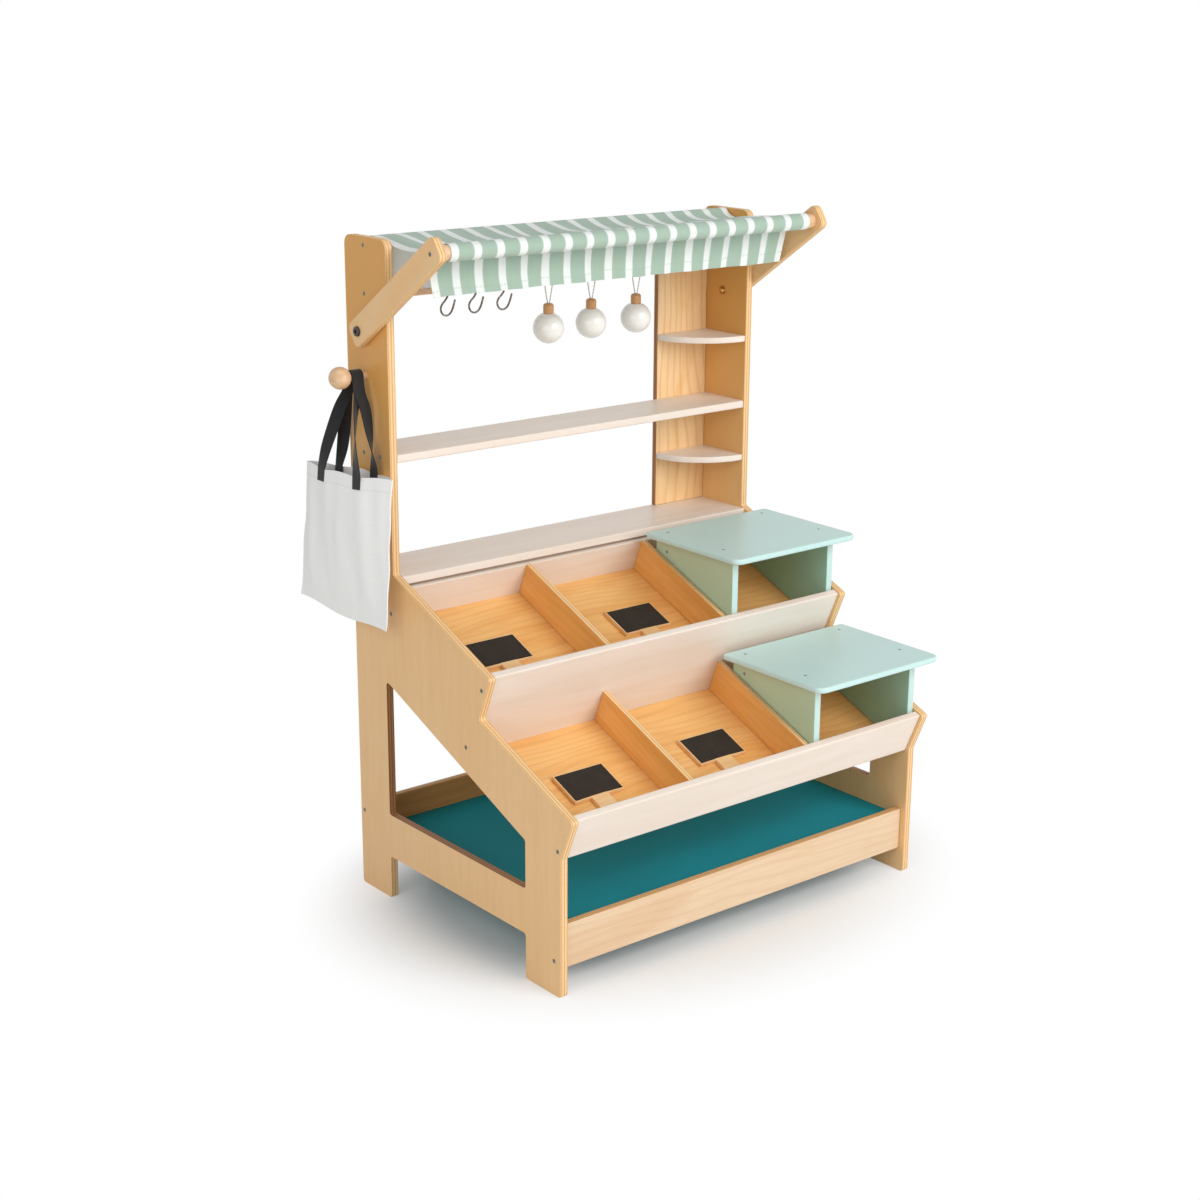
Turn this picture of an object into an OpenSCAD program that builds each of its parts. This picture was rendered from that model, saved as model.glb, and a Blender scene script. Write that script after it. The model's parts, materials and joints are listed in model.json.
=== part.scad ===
// Toy market stall in plywood: two side panels carry two sloping trays, shelves, a base,
// a folding striped awning, hanging lamps and hooks, and a cloth bag on a peg.
// Depth is counted from the back edge of the side panels towards the customer, height from the floor.

/* [Side panels] */
// Width over both side panels
stall_w = 690; // [600:5:780]
// Height of the posts
stall_h = 990; // [960:5:1040]
// Thickness of a side panel
panel_t = 12; // [9:1:18]
// Depth of a post
post_d = 104; // [96:1:116]
// Width of each leg
leg_w = 79; // [60:1:95]
// Underside of the cross rail between the legs
rail_low = 68; // [45:1:80]
// Top of the cross rail between the legs
rail_high = 136; // [125:1:150]
// Radius at the top corners of a post
post_round = 14; // [6:1:30]
// Radius at the other corners of a side panel
panel_round = 5; // [2:0.5:8]
// Wood left between the lower tray line and the window, square to the slope
window_drop = 93; // [88:1:105]

/* [Trays] */
// Slope of the trays, in degrees
tilt = 22.5; // [20:0.5:24]
// Clear length inside each tray, along the slope
tray_in = 215; // [205:1:230]
// Length of the nose edge between two slopes
nose_depth = 70; // [66:1:76]
// How much of the lower nose edge shows above the front leg
nose_cut = 65; // [55:1:68]
// Thickness of boards and shelves
board_t = 12; // [9:1:15]
// How far the boards stand back from the nose edges
board_inset = 4; // [1:0.5:6]
// How far the boards stand below the slope
board_drop = 1; // [0.5:0.5:4]
// Depth of the tray floors below the slope
floor_drop = 65; // [60:1:70]
// Thickness of a tray floor
floor_t = 6; // [4:0.5:9]
// Thickness of a divider
divider_t = 9; // [6:0.5:12]
// How far the dividers stand below the slope
divider_drop = 11; // [8:1:20]
// How far the upper back board stands below the slope
back_drop = 12.2; // [10:0.2:16]
// How far the upper back board's top is tucked under the ledge
back_tuck = 4.2; // [3:0.2:6]

/* [Ledge and shelves] */
// Top of the ledge behind the trays
ledge_top = 511; // [505:1:520]
// How far the ledge stands in front of the posts
ledge_nose = 8; // [5:1:11]
// Height of the long shelf, as a share of the posts above the ledge
shelf_share = 0.37; // [0.32:0.01:0.42]
// Thickness of the corner column's back
column_t = 10; // [8:1:14]
// Width of the corner column
column_w = 104; // [90:1:120]
// How far the corner column ends below the posts' tops
column_gap = 30; // [15:1:60]
// Thickness of a corner shelf
corner_t = 10; // [8:1:12]
// Height of the upper corner shelf, as a share of the way from the long shelf to the arm pivots
corner_high_share = 0.614; // [0.5:0.002:0.7]
// Height of the lower corner shelf, as a share of the way from the ledge to the long shelf
corner_low_share = 0.5; // [0.4:0.01:0.6]

/* [Base] */
// Underside of the front apron
apron_low = 38; // [30:1:50]
// Height of both aprons
apron_h = 66; // [60:1:75]
// How far the front apron stands behind the front legs
apron_inset = 9; // [4:1:14]
// How far the rear apron stands in front of the back edge
rear_inset = 3; // [1:1:8]
// Top of the base shelf
base_top = 93; // [85:1:98]

/* [Awning] */
// Diameter of the awning's two dowels
dowel_d = 22; // [18:1:24]
// Diameter of the hanging rail
rail_d = 21; // [18:1:24]
// Depth of the dowels and the arm pivots in the posts
post_axis = 48; // [44:1:54]
// How far the rear awning dowel lies below the posts' tops
dowel_drop = 12; // [12:1:20]
// How far the hanging rail lies below the posts' tops
rail_drop = 79; // [72:1:86]
// How far the arm pivots lie below the posts' tops
pivot_drop = 131; // [124:1:140]
// Distance from an arm's pivot to the front dowel
arm_reach = 222; // [214:1:230]
// Angle of the arms above level, in degrees
arm_angle = 34.5; // [32:0.5:37]
// Width of an arm
arm_w = 38; // [32:1:44]
// Thickness of an arm
arm_t = 12; // [9:1:15]
// How far an arm runs past its pivot and its dowel
arm_end = 19; // [17:1:24]
// Radius at an arm's corners
arm_round = 10; // [4:1:14]
// Diameter of a pivot bolt
bolt_d = 8; // [6:0.5:10]
// Diameter of a bolt's head and nut
bolt_head_d = 15; // [13:0.5:18]
// Thickness of a bolt's head
bolt_head_t = 3; // [2:0.5:4]
// Thickness of the awning cloth
cloth_t = 1.2; // [0.8:0.1:1.6]
// Gap between the cloth's ends and the side panels' inner faces
cloth_gap = 2; // [1.5:0.5:10]
// How far from each dowel its sleeve is sewn
seam_back = 43; // [38:1:48]
// How deep the cloth sags in front of the rear dowel
cloth_sag = 15; // [11:0.5:17]
// Height of the valance and of the cloth's rear tail below the front seam
valance_drop = 63; // [50:1:66]

/* [Display boxes] */
// Top of a box above its tray's nose
box_rise = 97; // [90:1:105]
// Thickness of a box's top
box_top_t = 9; // [6:0.5:12]
// Depth of a box's top
box_depth = 210; // [200:1:215]
// How far a box's top reaches in front of the nose
box_reach = 13; // [5:1:20]
// How far a box's top overhangs its sides
box_overhang = 21; // [10:1:25]
// Thickness of a box's sides and rear rail
box_side_t = 12; // [9:1:15]
// Room on each side of a box in its bay
box_room = 2; // [1:0.5:4]
// How far the sides' front edges stand behind the nose
box_face = 18; // [17:0.5:24]
// Radius at the front corners of a box's top
box_round = 15; // [8:1:25]
// Height of a box's rear rail
box_rail_h = 40; // [30:1:50]
// How far a box's sides stop short of the back of its top
box_rear = 14; // [8:1:20]
// How far the rear rail stands in from the sides' back edges
box_rail_in = 10; // [6:1:16]

/* [Price signs] */
// Width of a sign
sign_w = 88; // [70:1:106]
// Height of a sign's face
sign_h = 57; // [46:1:70]
// Thickness of a sign
sign_t = 6; // [4:0.5:8]
// Width of a sign's stake
stake_w = 30; // [20:1:40]
// Length of a sign's stake
stake_l = 68; // [55:1:80]

/* [Lamps, hooks and bag] */
// Diameter of a lamp
lamp_d = 47.5; // [40:0.5:54]
// How far a lamp's cap hangs below the hanging rail
cord_drop = 42; // [40:1:46]
// Diameter of a lamp's wooden cap
cap_d = 16; // [12:0.5:20]
// Height of a lamp's wooden cap
cap_h = 15; // [11:0.5:20]
// Diameter of a lamp's cord
cord_d = 1.6; // [1.2:0.1:2]
// Diameter of a hook's wire
wire_d = 3; // [2:0.25:4]
// Radius of a hook's lower bend, to the middle of its wire
hook_r = 14.5; // [13:0.5:16]
// How far the bag's peg lies below the posts' tops
peg_drop = 194; // [185:1:205]
// Depth of the bag's peg
peg_d = 47; // [42:1:56]
// Diameter of the peg
peg_stem_d = 12; // [10:0.5:14]
// Diameter of the peg's knob
knob_d = 32; // [26:1:36]
// Distance of the knob's centre from the side panel
knob_out = 43; // [41:1:46]
// Width of the bag
bag_w = 226; // [200:1:240]
// Height of the bag
bag_h = 213; // [200:1:230]
// Distance from the peg to the bag's top edge
bag_drop = 138; // [136:1:150]
// Thickness of the bag's canvas
bag_wall = 1.2; // [0.8:0.1:1.6]
// Half the width of the bag's open mouth
bag_mouth = 14.5; // [9:0.5:16]
// Width of a strap
strap_w = 18; // [14:0.5:20]
// Thickness of a strap
strap_t = 1.6; // [1:0.1:2]
// How far the bag has swung back, in degrees
bag_swing = 4; // [0:0.5:8]

/* [Fasteners and clearances] */
// Diameter of a screw's shank
screw_d = 4; // [3:0.25:5]
// Diameter of a screw's head
screw_head_d = 7; // [6:0.25:8]
// Thickness of a screw's head
screw_head_t = 2.2; // [1.5:0.1:3]
// Length of a screw
screw_l = 38; // [30:1:45]
// Distance of the screws from the boards' edges
screw_edge = 13; // [9:1:16]
// Gap round pins, screws and pegs in their holes
running_gap = 0.05; // [0.03:0.01:0.08]
// Gap between pieces that rest on or pass each other
seat_gap = 0.3; // [0.2:0.05:0.5]
// Gap between an arm and its post
arm_gap = 0.5; // [0.3:0.1:1]

/* [Hidden] */
$fn = 48;

birch = "#D9B582";
pale_board = "#EADDD0";
honey = "#E2A95C";
aqua = "#B9D9D6";
teal = "#1F7A80";
sage = "#A9CDB8";
steel = "#6B6660";

// Small sizes that belong to no one else: facet counts, overcuts and hidden details
corner_steps = 6;
overcut = 1;
nut_t = 5;
nut_wall = 2;
canopy_stations = 16;
valance_stations = 3 * canopy_stations;
valance_steps = 5;
valance_lean = [-2, -18];
valance_belly = 7;
wire_sides = 16;
seam_lap = 1;
tail_turn = [1, 1.5];
cord_sides = 8;

// Points of the side profile, as [depth, height]
slope = [cos(tilt), -sin(tilt)];
below = [-sin(tilt), -cos(tilt)];
nose_pitch = tray_in + board_t;
board_u = -board_inset - board_t;
back_u = board_u - tray_in;
ledge_front = post_d + ledge_nose;
ledge_under = ledge_top - board_t;
shelf_top = mix(ledge_top, stall_h, shelf_share);
back_corner = [ledge_front - back_tuck, ledge_under - seat_gap];
upper_nose = back_corner - slope * (back_u - board_t) - below * back_drop;
notch = upper_nose + below * nose_depth;
lower_nose = notch + slope * nose_pitch;
lower_nose_end = lower_nose + below * nose_cut;
base_d = lower_nose_end.x;
post_foot = [post_d, upper_nose.y + (upper_nose.x - post_d) * tan(tilt)];
inside_l = panel_t;
inside_r = stall_w - panel_t;
bay_w = (inside_r - inside_l - 2 * divider_t) / 3;
divider_x = [inside_l + bay_w, inside_l + 2 * bay_w + divider_t];
floor_under = floor_drop + floor_t;

panel_corners = [
    [0, 0, panel_round], [leg_w, 0, panel_round], [leg_w, rail_low, panel_round],
    [base_d - leg_w, rail_low, panel_round], [base_d - leg_w, 0, panel_round], [base_d, 0, panel_round],
    [base_d, lower_nose_end.y, panel_round], [lower_nose.x, lower_nose.y, panel_round],
    [notch.x, notch.y, panel_round], [upper_nose.x, upper_nose.y, panel_round],
    [post_foot.x, post_foot.y, panel_round], [post_d, stall_h, post_round], [0, stall_h, post_round]
];
function window_h(depth) =
    lower_nose.y + (lower_nose.x - depth) * tan(tilt) - window_drop / cos(tilt);
window_corners = [
    [leg_w, rail_high, panel_round], [base_d - leg_w, rail_high, panel_round],
    [base_d - leg_w, window_h(base_d - leg_w), panel_round], [leg_w, window_h(leg_w), panel_round]
];

// Screws through the side panels, as [depth, height] at the middle of each board's end
board_mid_u = board_u + board_t / 2;
mid_screws = [for (down = [2 * screw_edge, nose_depth + floor_under - screw_edge])
    tray_point(upper_nose, board_mid_u, down)];
front_screws = [tray_point(lower_nose, board_mid_u, floor_under - screw_edge)];
back_screws = [tray_point(upper_nose, back_u - board_t / 2, floor_under - screw_edge)];
ledge_screws = [for (depth = [2 * screw_edge, ledge_front - 2 * screw_edge])
    [depth, ledge_under + board_t / 2]];
shelf_screws = [for (depth = [column_t + 2 * screw_edge, post_d - 2 * screw_edge])
    [depth, shelf_top - board_t / 2]];
apron_screws = [[base_d - apron_inset - board_t / 2, apron_low + screw_edge]];
rear_screws = [[rear_inset + board_t / 2, rail_low + apron_h - screw_edge]];
rear_dowel = [post_axis, stall_h - dowel_drop];
hanging_point = [post_axis, stall_h - rail_drop];
arm_pivot = [post_axis, stall_h - pivot_drop];
peg_point = [peg_d, stall_h - peg_drop];
dowel_screws = [rear_dowel];
rail_screws = [hanging_point];
panel_screw_points = concat(mid_screws, front_screws, back_screws, ledge_screws, shelf_screws,
    apron_screws, rear_screws, dowel_screws, rail_screws);

front_dowel = arm_pivot + arm_reach * [cos(arm_angle), sin(arm_angle)];
sleeve_r = dowel_d / 2 + seat_gap + cloth_t / 2;
cloth_end = inside_l + cloth_gap;
front_seam = front_dowel.x - seam_back;
rear_seam = rear_dowel.x + seam_back;
corner_r = column_w;
column_x = inside_r - column_w;

// Places along the hanging rail and in the bays, from the middle of each
hook_x = [for (off = [-209, -159, -108]) stall_w / 2 + off];
lamp_x = [for (off = [-20, 62, 151]) stall_w / 2 + off];
left_bay_x = inside_l + bay_w / 2;
middle_bay_x = stall_w / 2;
upper_sign_shift = [-11, 26];
lower_sign_shift = [9, 17];
cap_rim = 1;
lamp_flat = sqrt(pow(lamp_d / 2, 2) - pow(cap_d / 2 + cap_rim, 2));
lamp_drop = cord_drop + cap_h + lamp_flat;

// Half of a lamp's cord loop from its cap to the top of the rail, as [forward, up] from the rail's middle
cord_half = [
    [2, -cord_drop], [4, -36], [6, -28], [8, -20], [10, -11], [11.6, -4], [12, 1], [11, 5.5], [8.5, 9],
    [4.6, 11.4]
];
cord_route = concat(cord_half, [[0, 12]],
    [for (i = [len(cord_half) - 1:-1:0]) [-cord_half[i].x, cord_half[i].y]]);

// Half of a strap's route from the bag to its peg, from the peg's middle, as [forward, up, turn, spread,
// stack]: spread is the share of the bag's half thickness, stack moves the upper strap off the lower one
strap_half = [
    [48, -bag_drop - 22, 0, 1, 0], [47, -bag_drop - 8, 0, 1, 0], [46, -bag_drop + 6, 0, 1, 0],
    [39, -108, 35, 0.95, 0], [30, -78, 70, 0.75, 1.4], [21, -46, 85, 0.45, 2.2], [13, -20, 90, 0, 1.3]
];

function tray_point(nose, u, s) = nose + slope * u + below * s;
function world_y(depth) = base_d / 2 - depth;
function flat(p) = [p[0], p[1]];
function unit(v) = v / norm(v);
function reversed(list) = [for (i = [len(list) - 1:-1:0]) list[i]];
function mix(a, b, t) = a + (b - a) * t;

// An outline with an arc at each corner; a corner is [depth, height, radius]
function corner_arc(p0, p1, p2, r) =
    let (a = unit(p0 - p1), b = unit(p2 - p1), half = acos(a * b) / 2)
    let (middle = p1 + unit(a + b) * r / sin(half), first = p1 + a * r / tan(half) - middle)
    let (start = atan2(first.y, first.x), turn = sign(a.y * b.x - a.x * b.y) * (180 - 2 * half))
    [for (k = [0:corner_steps])
        middle + r * [cos(start + turn * k / corner_steps), sin(start + turn * k / corner_steps)]];
function rounded(corners) =
    let (n = len(corners))
    [for (i = [0:n - 1])
        each corner_arc(flat(corners[(i + n - 1) % n]), flat(corners[i]), flat(corners[(i + 1) % n]),
            corners[i][2])];

// Moves a profile of [depth, height] to its place and gives it width from x0 to x1
module across(x0, x1) {
    translate([x1 - stall_w / 2, base_d / 2, 0])
        rotate([90, 0, -90])
            linear_extrude(x1 - x0) children();
}

module on_tray(nose) {
    translate(nose) rotate(-tilt) children();
}

// A board square to the slope or along it, from u0 to u1 down the slope and s0 to s1 below it
module tray_board(nose, u0, u1, s0, s1, x0 = inside_l, x1 = inside_r) {
    across(x0, x1) on_tray(nose) translate([u0, -s1]) square([u1 - u0, s1 - s0]);
}

module level_board(x0, x1, d0, d1, z0, z1) {
    across(x0, x1) translate([d0, z0]) square([d1 - d0, z1 - z0]);
}

module rod(x0, x1, point, r) {
    translate([x0 - stall_w / 2, world_y(point.x), point.y])
        rotate([0, 90, 0]) cylinder(r = r, h = x1 - x0);
}

module both_sides() {
    children();
    mirror([1, 0, 0]) children();
}

module drilled(points) {
    difference() {
        children();
        both_sides()
            for (p = points) {
                rod(-overcut, screw_l + seat_gap, p, screw_d / 2 + running_gap);
                rod(-overcut, screw_head_t, p, screw_head_d / 2 + running_gap);
            }
    }
}

// A closed skin over rings that all have the same even number of points
module skin(rings) {
    n = len(rings[0]);
    last = (len(rings) - 1) * n;
    sides = [for (i = [0:len(rings) - 2], k = [0:n - 1])
        let (a = i * n + k, b = i * n + (k + 1) % n)
        each [[a, b, b + n], [a, b + n, a + n]]];
    caps = [for (j = [0:n / 2 - 2])
        let (a = j, b = j + 1, c = n - 2 - j, d = n - 1 - j)
        each [[c, b, a], [d, c, a], [last + a, last + b, last + c], [last + a, last + c, last + d]]];
    polyhedron([for (ring = rings) each ring], concat(sides, caps), convexity = 8);
}

// Side panels
module side_panel() {
    drilled(panel_screw_points)
        difference() {
            across(0, panel_t)
                difference() {
                    polygon(rounded(panel_corners));
                    polygon(rounded(window_corners));
                }
            rod(-overcut, panel_t + overcut, arm_pivot, bolt_d / 2 + running_gap);
        }
}

module left_side_panel() {
    color(birch)
        difference() {
            side_panel();
            rod(-overcut, panel_t + overcut, peg_point, peg_stem_d / 2 + running_gap);
        }
}

module right_side_panel() {
    color(birch) mirror([1, 0, 0]) side_panel();
}

// Trays
module upper_back_board() {
    color(pale_board)
        drilled(back_screws) tray_board(upper_nose, back_u - board_t, back_u, back_drop, floor_under);
}

module upper_tray_floor() {
    color(honey) tray_board(upper_nose, back_u, board_u, floor_drop, floor_under);
}

module mid_board() {
    color(pale_board)
        drilled(mid_screws)
            tray_board(upper_nose, board_u, -board_inset, board_drop, nose_depth + floor_under);
}

module lower_tray_floor() {
    color(honey) tray_board(lower_nose, board_u - tray_in, board_u, floor_drop, floor_under);
}

module lower_front_board() {
    color(pale_board)
        drilled(front_screws) tray_board(lower_nose, board_u, -board_inset, board_drop, floor_under);
}

module divider(nose, x) {
    color(honey)
        tray_board(nose, board_u - tray_in, board_u, divider_drop, floor_drop, x, x + divider_t);
}

module upper_divider_left() divider(upper_nose, divider_x[0]);
module upper_divider_right() divider(upper_nose, divider_x[1]);
module lower_divider_left() divider(lower_nose, divider_x[0]);
module lower_divider_right() divider(lower_nose, divider_x[1]);

// Ledge, shelves and corner column
module ledge_board() {
    color(pale_board)
        drilled(ledge_screws) level_board(inside_l, inside_r, 0, ledge_front, ledge_under, ledge_top);
}

module long_shelf() {
    color(pale_board)
        drilled(shelf_screws)
            level_board(inside_l, inside_r, column_t, post_d, shelf_top - board_t, shelf_top);
}

module column_back() {
    color(birch) level_board(column_x, inside_r, 0, column_t, ledge_top, stall_h - column_gap);
}

module corner_shelf(top) {
    color(pale_board)
        intersection() {
            level_board(column_x, inside_r, column_t, post_d, top - corner_t, top);
            translate([inside_r - stall_w / 2, world_y(column_t), top - corner_t - overcut])
                scale([corner_r, post_d - column_t, 1])
                    cylinder(r = 1, h = corner_t + 2 * overcut, $fn = 96);
        }
}

module upper_corner_shelf() corner_shelf(mix(shelf_top, arm_pivot.y, corner_high_share));
module lower_corner_shelf() corner_shelf(mix(ledge_top, shelf_top, corner_low_share));

// Base
module front_apron() {
    color(pale_board)
        drilled(apron_screws)
            level_board(inside_l, inside_r, base_d - apron_inset - board_t, base_d - apron_inset,
                apron_low, apron_low + apron_h);
}

module rear_apron() {
    color(pale_board)
        drilled(rear_screws)
            level_board(inside_l, inside_r, rear_inset, rear_inset + board_t, rail_low, rail_low + apron_h);
}

module base_shelf() {
    color(teal)
        level_board(inside_l, inside_r, rear_inset + board_t, base_d - apron_inset - board_t,
            base_top - board_t, base_top);
}

// Dowels, peg and fasteners of the frame
module awning_rear_dowel() {
    color(birch) drilled(dowel_screws) rod(inside_l, inside_r, rear_dowel, dowel_d / 2);
}

module hanging_rail() {
    color(birch) drilled(rail_screws) rod(inside_l, inside_r, hanging_point, rail_d / 2);
}

peg_grip = knob_d / 4;
module bag_peg() {
    color(birch) rod(-knob_out - peg_grip + seat_gap, panel_t, peg_point, peg_stem_d / 2);
}

module bag_peg_knob() {
    color("#EBC7A0")
        difference() {
            translate([-knob_out - stall_w / 2, world_y(peg_point.x), peg_point.y])
                sphere(d = knob_d, $fn = 64);
            rod(-knob_out - peg_grip, 0, peg_point, peg_stem_d / 2 + running_gap);
        }
}

module screw(point, x) {
    rod(x, x + screw_head_t, point, screw_head_d / 2);
    rod(x, x + screw_l, point, screw_d / 2);
}

module panel_screws() {
    color(steel)
        both_sides()
            for (p = panel_screw_points) screw(p, 0);
}

arm_face = -arm_gap - arm_t;
module arm_pivot_bolts() {
    color(steel)
        both_sides() {
            rod(arm_face - seat_gap - bolt_head_t, arm_face - seat_gap, arm_pivot, bolt_head_d / 2);
            rod(arm_face - seat_gap, panel_t + nut_t - nut_wall - seat_gap, arm_pivot, bolt_d / 2);
        }
}

module arm_nuts() {
    color(steel)
        both_sides()
            difference() {
                rod(panel_t, panel_t + nut_t, arm_pivot, bolt_head_d / 2);
                rod(panel_t - overcut, panel_t + nut_t - nut_wall, arm_pivot,
                    bolt_d / 2 + running_gap);
            }
}

// Awning
arm_corners = [
    [-arm_end, -arm_w / 2, arm_round], [arm_reach + arm_end, -arm_w / 2, arm_round],
    [arm_reach + arm_end, arm_w / 2, arm_round], [-arm_end, arm_w / 2, arm_round]
];

module awning_arm() {
    difference() {
        across(arm_face, -arm_gap)
            translate(arm_pivot) rotate(arm_angle) polygon(rounded(arm_corners));
        rod(arm_face - overcut, overcut, arm_pivot, bolt_d / 2 + running_gap);
        arm_screw_bore();
    }
}

module arm_screw_bore() {
    rod(arm_face - overcut, arm_face + screw_l + seat_gap, front_dowel, screw_d / 2 + running_gap);
    rod(arm_face - overcut, arm_face + screw_head_t, front_dowel, screw_head_d / 2 + running_gap);
}

module left_awning_arm() {
    color(birch) awning_arm();
}

module right_awning_arm() {
    color(birch) mirror([1, 0, 0]) awning_arm();
}

module awning_front_dowel() {
    color("#EBC7A0")
        difference() {
            rod(-arm_gap, stall_w + arm_gap, front_dowel, dowel_d / 2);
            both_sides() arm_screw_bore();
        }
}

module arm_screws() {
    color(steel) both_sides() screw(front_dowel, arm_face);
}

// Soft folds of the cloth along its width, as [height, spacing, start in degrees]
canopy_folds = [[2.6, 137, 130], [1.4, 91, 90]];
valance_folds = [[2.2, 118, 25], [1.2, 53, 0]];
function folds(waves, x) = [for (w = waves) w[0] * sin(360 * x / w[1] + w[2])] * [1, 1];

// The cloth sags between the dowels, and its folds are straight from one station to the next
cloth_w = stall_w - 2 * cloth_end;
canopy_x = [for (i = [0:canopy_stations]) cloth_end + cloth_w * i / canopy_stations];
fold_table = [for (x = canopy_x) [x, folds(canopy_folds, x)]];
function fold_sag(x) = cloth_sag + lookup(x, fold_table);

// Angles round each dowel at which the cloth comes to it and leaves it
rear_wrap = [-60, -258];
front_wrap = [120, -90];
function on_sleeve(middle, angle) = middle + sleeve_r * [cos(angle), sin(angle)];
function sleeve(middle, wrap, steps) =
    [for (k = [0:steps]) on_sleeve(middle, mix(wrap[0], wrap[1], k / steps))];
span_start = on_sleeve(rear_dowel, 90);
span_end = on_sleeve(front_dowel, front_wrap[0]);
function span_point(x, t) =
    mix(span_start, span_end, t) - [0, fold_sag(x) * sin(180 * t * t)];
function span_h(x, depth) = span_point(x, (depth - span_start.x) / (span_end.x - span_start.x)).y;

// The cloth turns under each dowel and comes back up to its seam, just below the span; at the rear its end
// hangs on from there as a tail
hem_h = span_end.y - cloth_sag - valance_drop;
function return_end(x, depth) = [depth, span_h(x, depth) - cloth_t - 2 * seat_gap];
function tail_line(x) =
    let (top = return_end(x, rear_seam).y - tail_turn.y)
    [for (t = [1, 2 / 3, 1 / 3, 0]) [rear_seam + t * folds(valance_folds, x), mix(top, hem_h, t)]];
function canopy_line(x) = concat(
    tail_line(x),
    [return_end(x, rear_seam - tail_turn.x)],
    sleeve(rear_dowel, rear_wrap, 9),
    [for (k = [0:7]) span_point(x, k / 8)],
    sleeve(front_dowel, front_wrap, 11),
    [return_end(x, front_seam - seam_lap)]);
function line_normal(line, j) =
    let (n = len(line) - 1, step = unit(line[min(j + 1, n)] - line[max(j - 1, 0)])) [-step.y, step.x];
function sheet_ring(x, line) =
    let (outer = [for (j = [0:len(line) - 1]) line[j] + line_normal(line, j) * cloth_t / 2])
    let (inner = [for (j = [0:len(line) - 1]) line[j] - line_normal(line, j) * cloth_t / 2])
    [for (p = concat(outer, reversed(inner))) [x - stall_w / 2, world_y(p.x), p.y]];

module awning_canopy() {
    color(sage) skin([for (x = canopy_x) sheet_ring(x, canopy_line(x))]);
}

// The valance hangs from the seam behind the front dowel in soft folds; it bellies back at its left end and
// leans back at its right end
function valance_swing(x, t) =
    let (share = (x - cloth_end) / cloth_w)
    t * (mix(valance_lean[0], valance_lean[1], share) + folds(valance_folds, x))
        - 4 * t * (1 - t) * valance_belly * (1 - share);
function valance_line(x) =
    let (top = return_end(x, front_seam - seam_lap).y - cloth_t)
    [for (k = [0:valance_steps])
        let (t = k / valance_steps) [front_seam + valance_swing(x, t), mix(top, hem_h, t)]];

module awning_valance() {
    color(sage)
        skin([for (i = [0:valance_stations])
            let (x = cloth_end + cloth_w * i / valance_stations) sheet_ring(x, valance_line(x))]);
}

// Display boxes stand in the right-hand bays: an overhanging top on two wedge sides and a rear rail
box_x0 = divider_x[1] + divider_t + box_room;
box_x1 = inside_r - box_room;
box_under = box_rise - box_top_t;
box_back = box_reach - box_depth;
box_side_back = box_back + box_rear;

// A point of the tray's front board or floor, taken from the nose at a given depth
function board_meets(depth) =
    let (u = board_u - seat_gap, s = (u * cos(tilt) - depth) / sin(tilt)) slope * u + below * s;
function floor_meets(depth) =
    let (s = floor_drop - seat_gap, u = (depth + s * sin(tilt)) / cos(tilt)) slope * u + below * s;

module box_side(nose, x) {
    color(aqua)
        across(x, x + box_side_t)
            translate(nose)
                polygon([
                    [-box_face, box_under], [box_side_back, box_under], floor_meets(box_side_back),
                    slope * (board_u - seat_gap) + below * (floor_drop - seat_gap), board_meets(-box_face)
                ]);
}

module box_top(nose) {
    w = box_x1 - box_x0 + 2 * box_overhang;
    color(aqua)
        translate([box_x0 - box_overhang - stall_w / 2, world_y(nose.x), nose.y + box_under])
            linear_extrude(box_top_t)
                polygon(rounded([
                    [0, -box_back, panel_round], [0, -box_reach, box_round],
                    [w, -box_reach, box_round], [w, -box_back, panel_round]
                ]));
}

module box_rear_rail(nose) {
    d0 = nose.x + box_side_back + box_rail_in;
    color(aqua)
        level_board(box_x0 + box_side_t, box_x1 - box_side_t, d0, d0 + box_side_t,
            nose.y + box_under - box_rail_h, nose.y + box_under);
}

module upper_box_top() box_top(upper_nose);
module upper_box_left_side() box_side(upper_nose, box_x0);
module upper_box_right_side() box_side(upper_nose, box_x1 - box_side_t);
module upper_box_rear_rail() box_rear_rail(upper_nose);
module lower_box_top() box_top(lower_nose);
module lower_box_left_side() box_side(lower_nose, box_x0);
module lower_box_right_side() box_side(lower_nose, box_x1 - box_side_t);
module lower_box_rear_rail() box_rear_rail(lower_nose);

// Price signs lie on the tray floors, with their stakes against the front boards
module price_sign(nose, x) {
    color("#3A3532")
        translate([x - stall_w / 2, world_y(nose.x), nose.y])
            rotate([tilt, 0, 0])
                translate([0, -board_u + seat_gap, seat_gap - floor_drop])
                    linear_extrude(sign_t)
                        polygon([
                            [-stake_w / 2, 0], [stake_w / 2, 0], [stake_w / 2, stake_l],
                            [sign_w / 2, stake_l], [sign_w / 2, stake_l + sign_h],
                            [-sign_w / 2, stake_l + sign_h], [-sign_w / 2, stake_l], [-stake_w / 2, stake_l]
                        ]);
}

module upper_left_sign() price_sign(upper_nose, left_bay_x + upper_sign_shift[0]);
module upper_middle_sign() price_sign(upper_nose, middle_bay_x + upper_sign_shift[1]);
module lower_left_sign() price_sign(lower_nose, left_bay_x + lower_sign_shift[0]);
module lower_middle_sign() price_sign(lower_nose, middle_bay_x + lower_sign_shift[1]);

// Moves what hangs to its place along the rail
module at_rail(x) {
    translate([x - stall_w / 2, world_y(hanging_point.x), hanging_point.y]) children();
}

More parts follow.
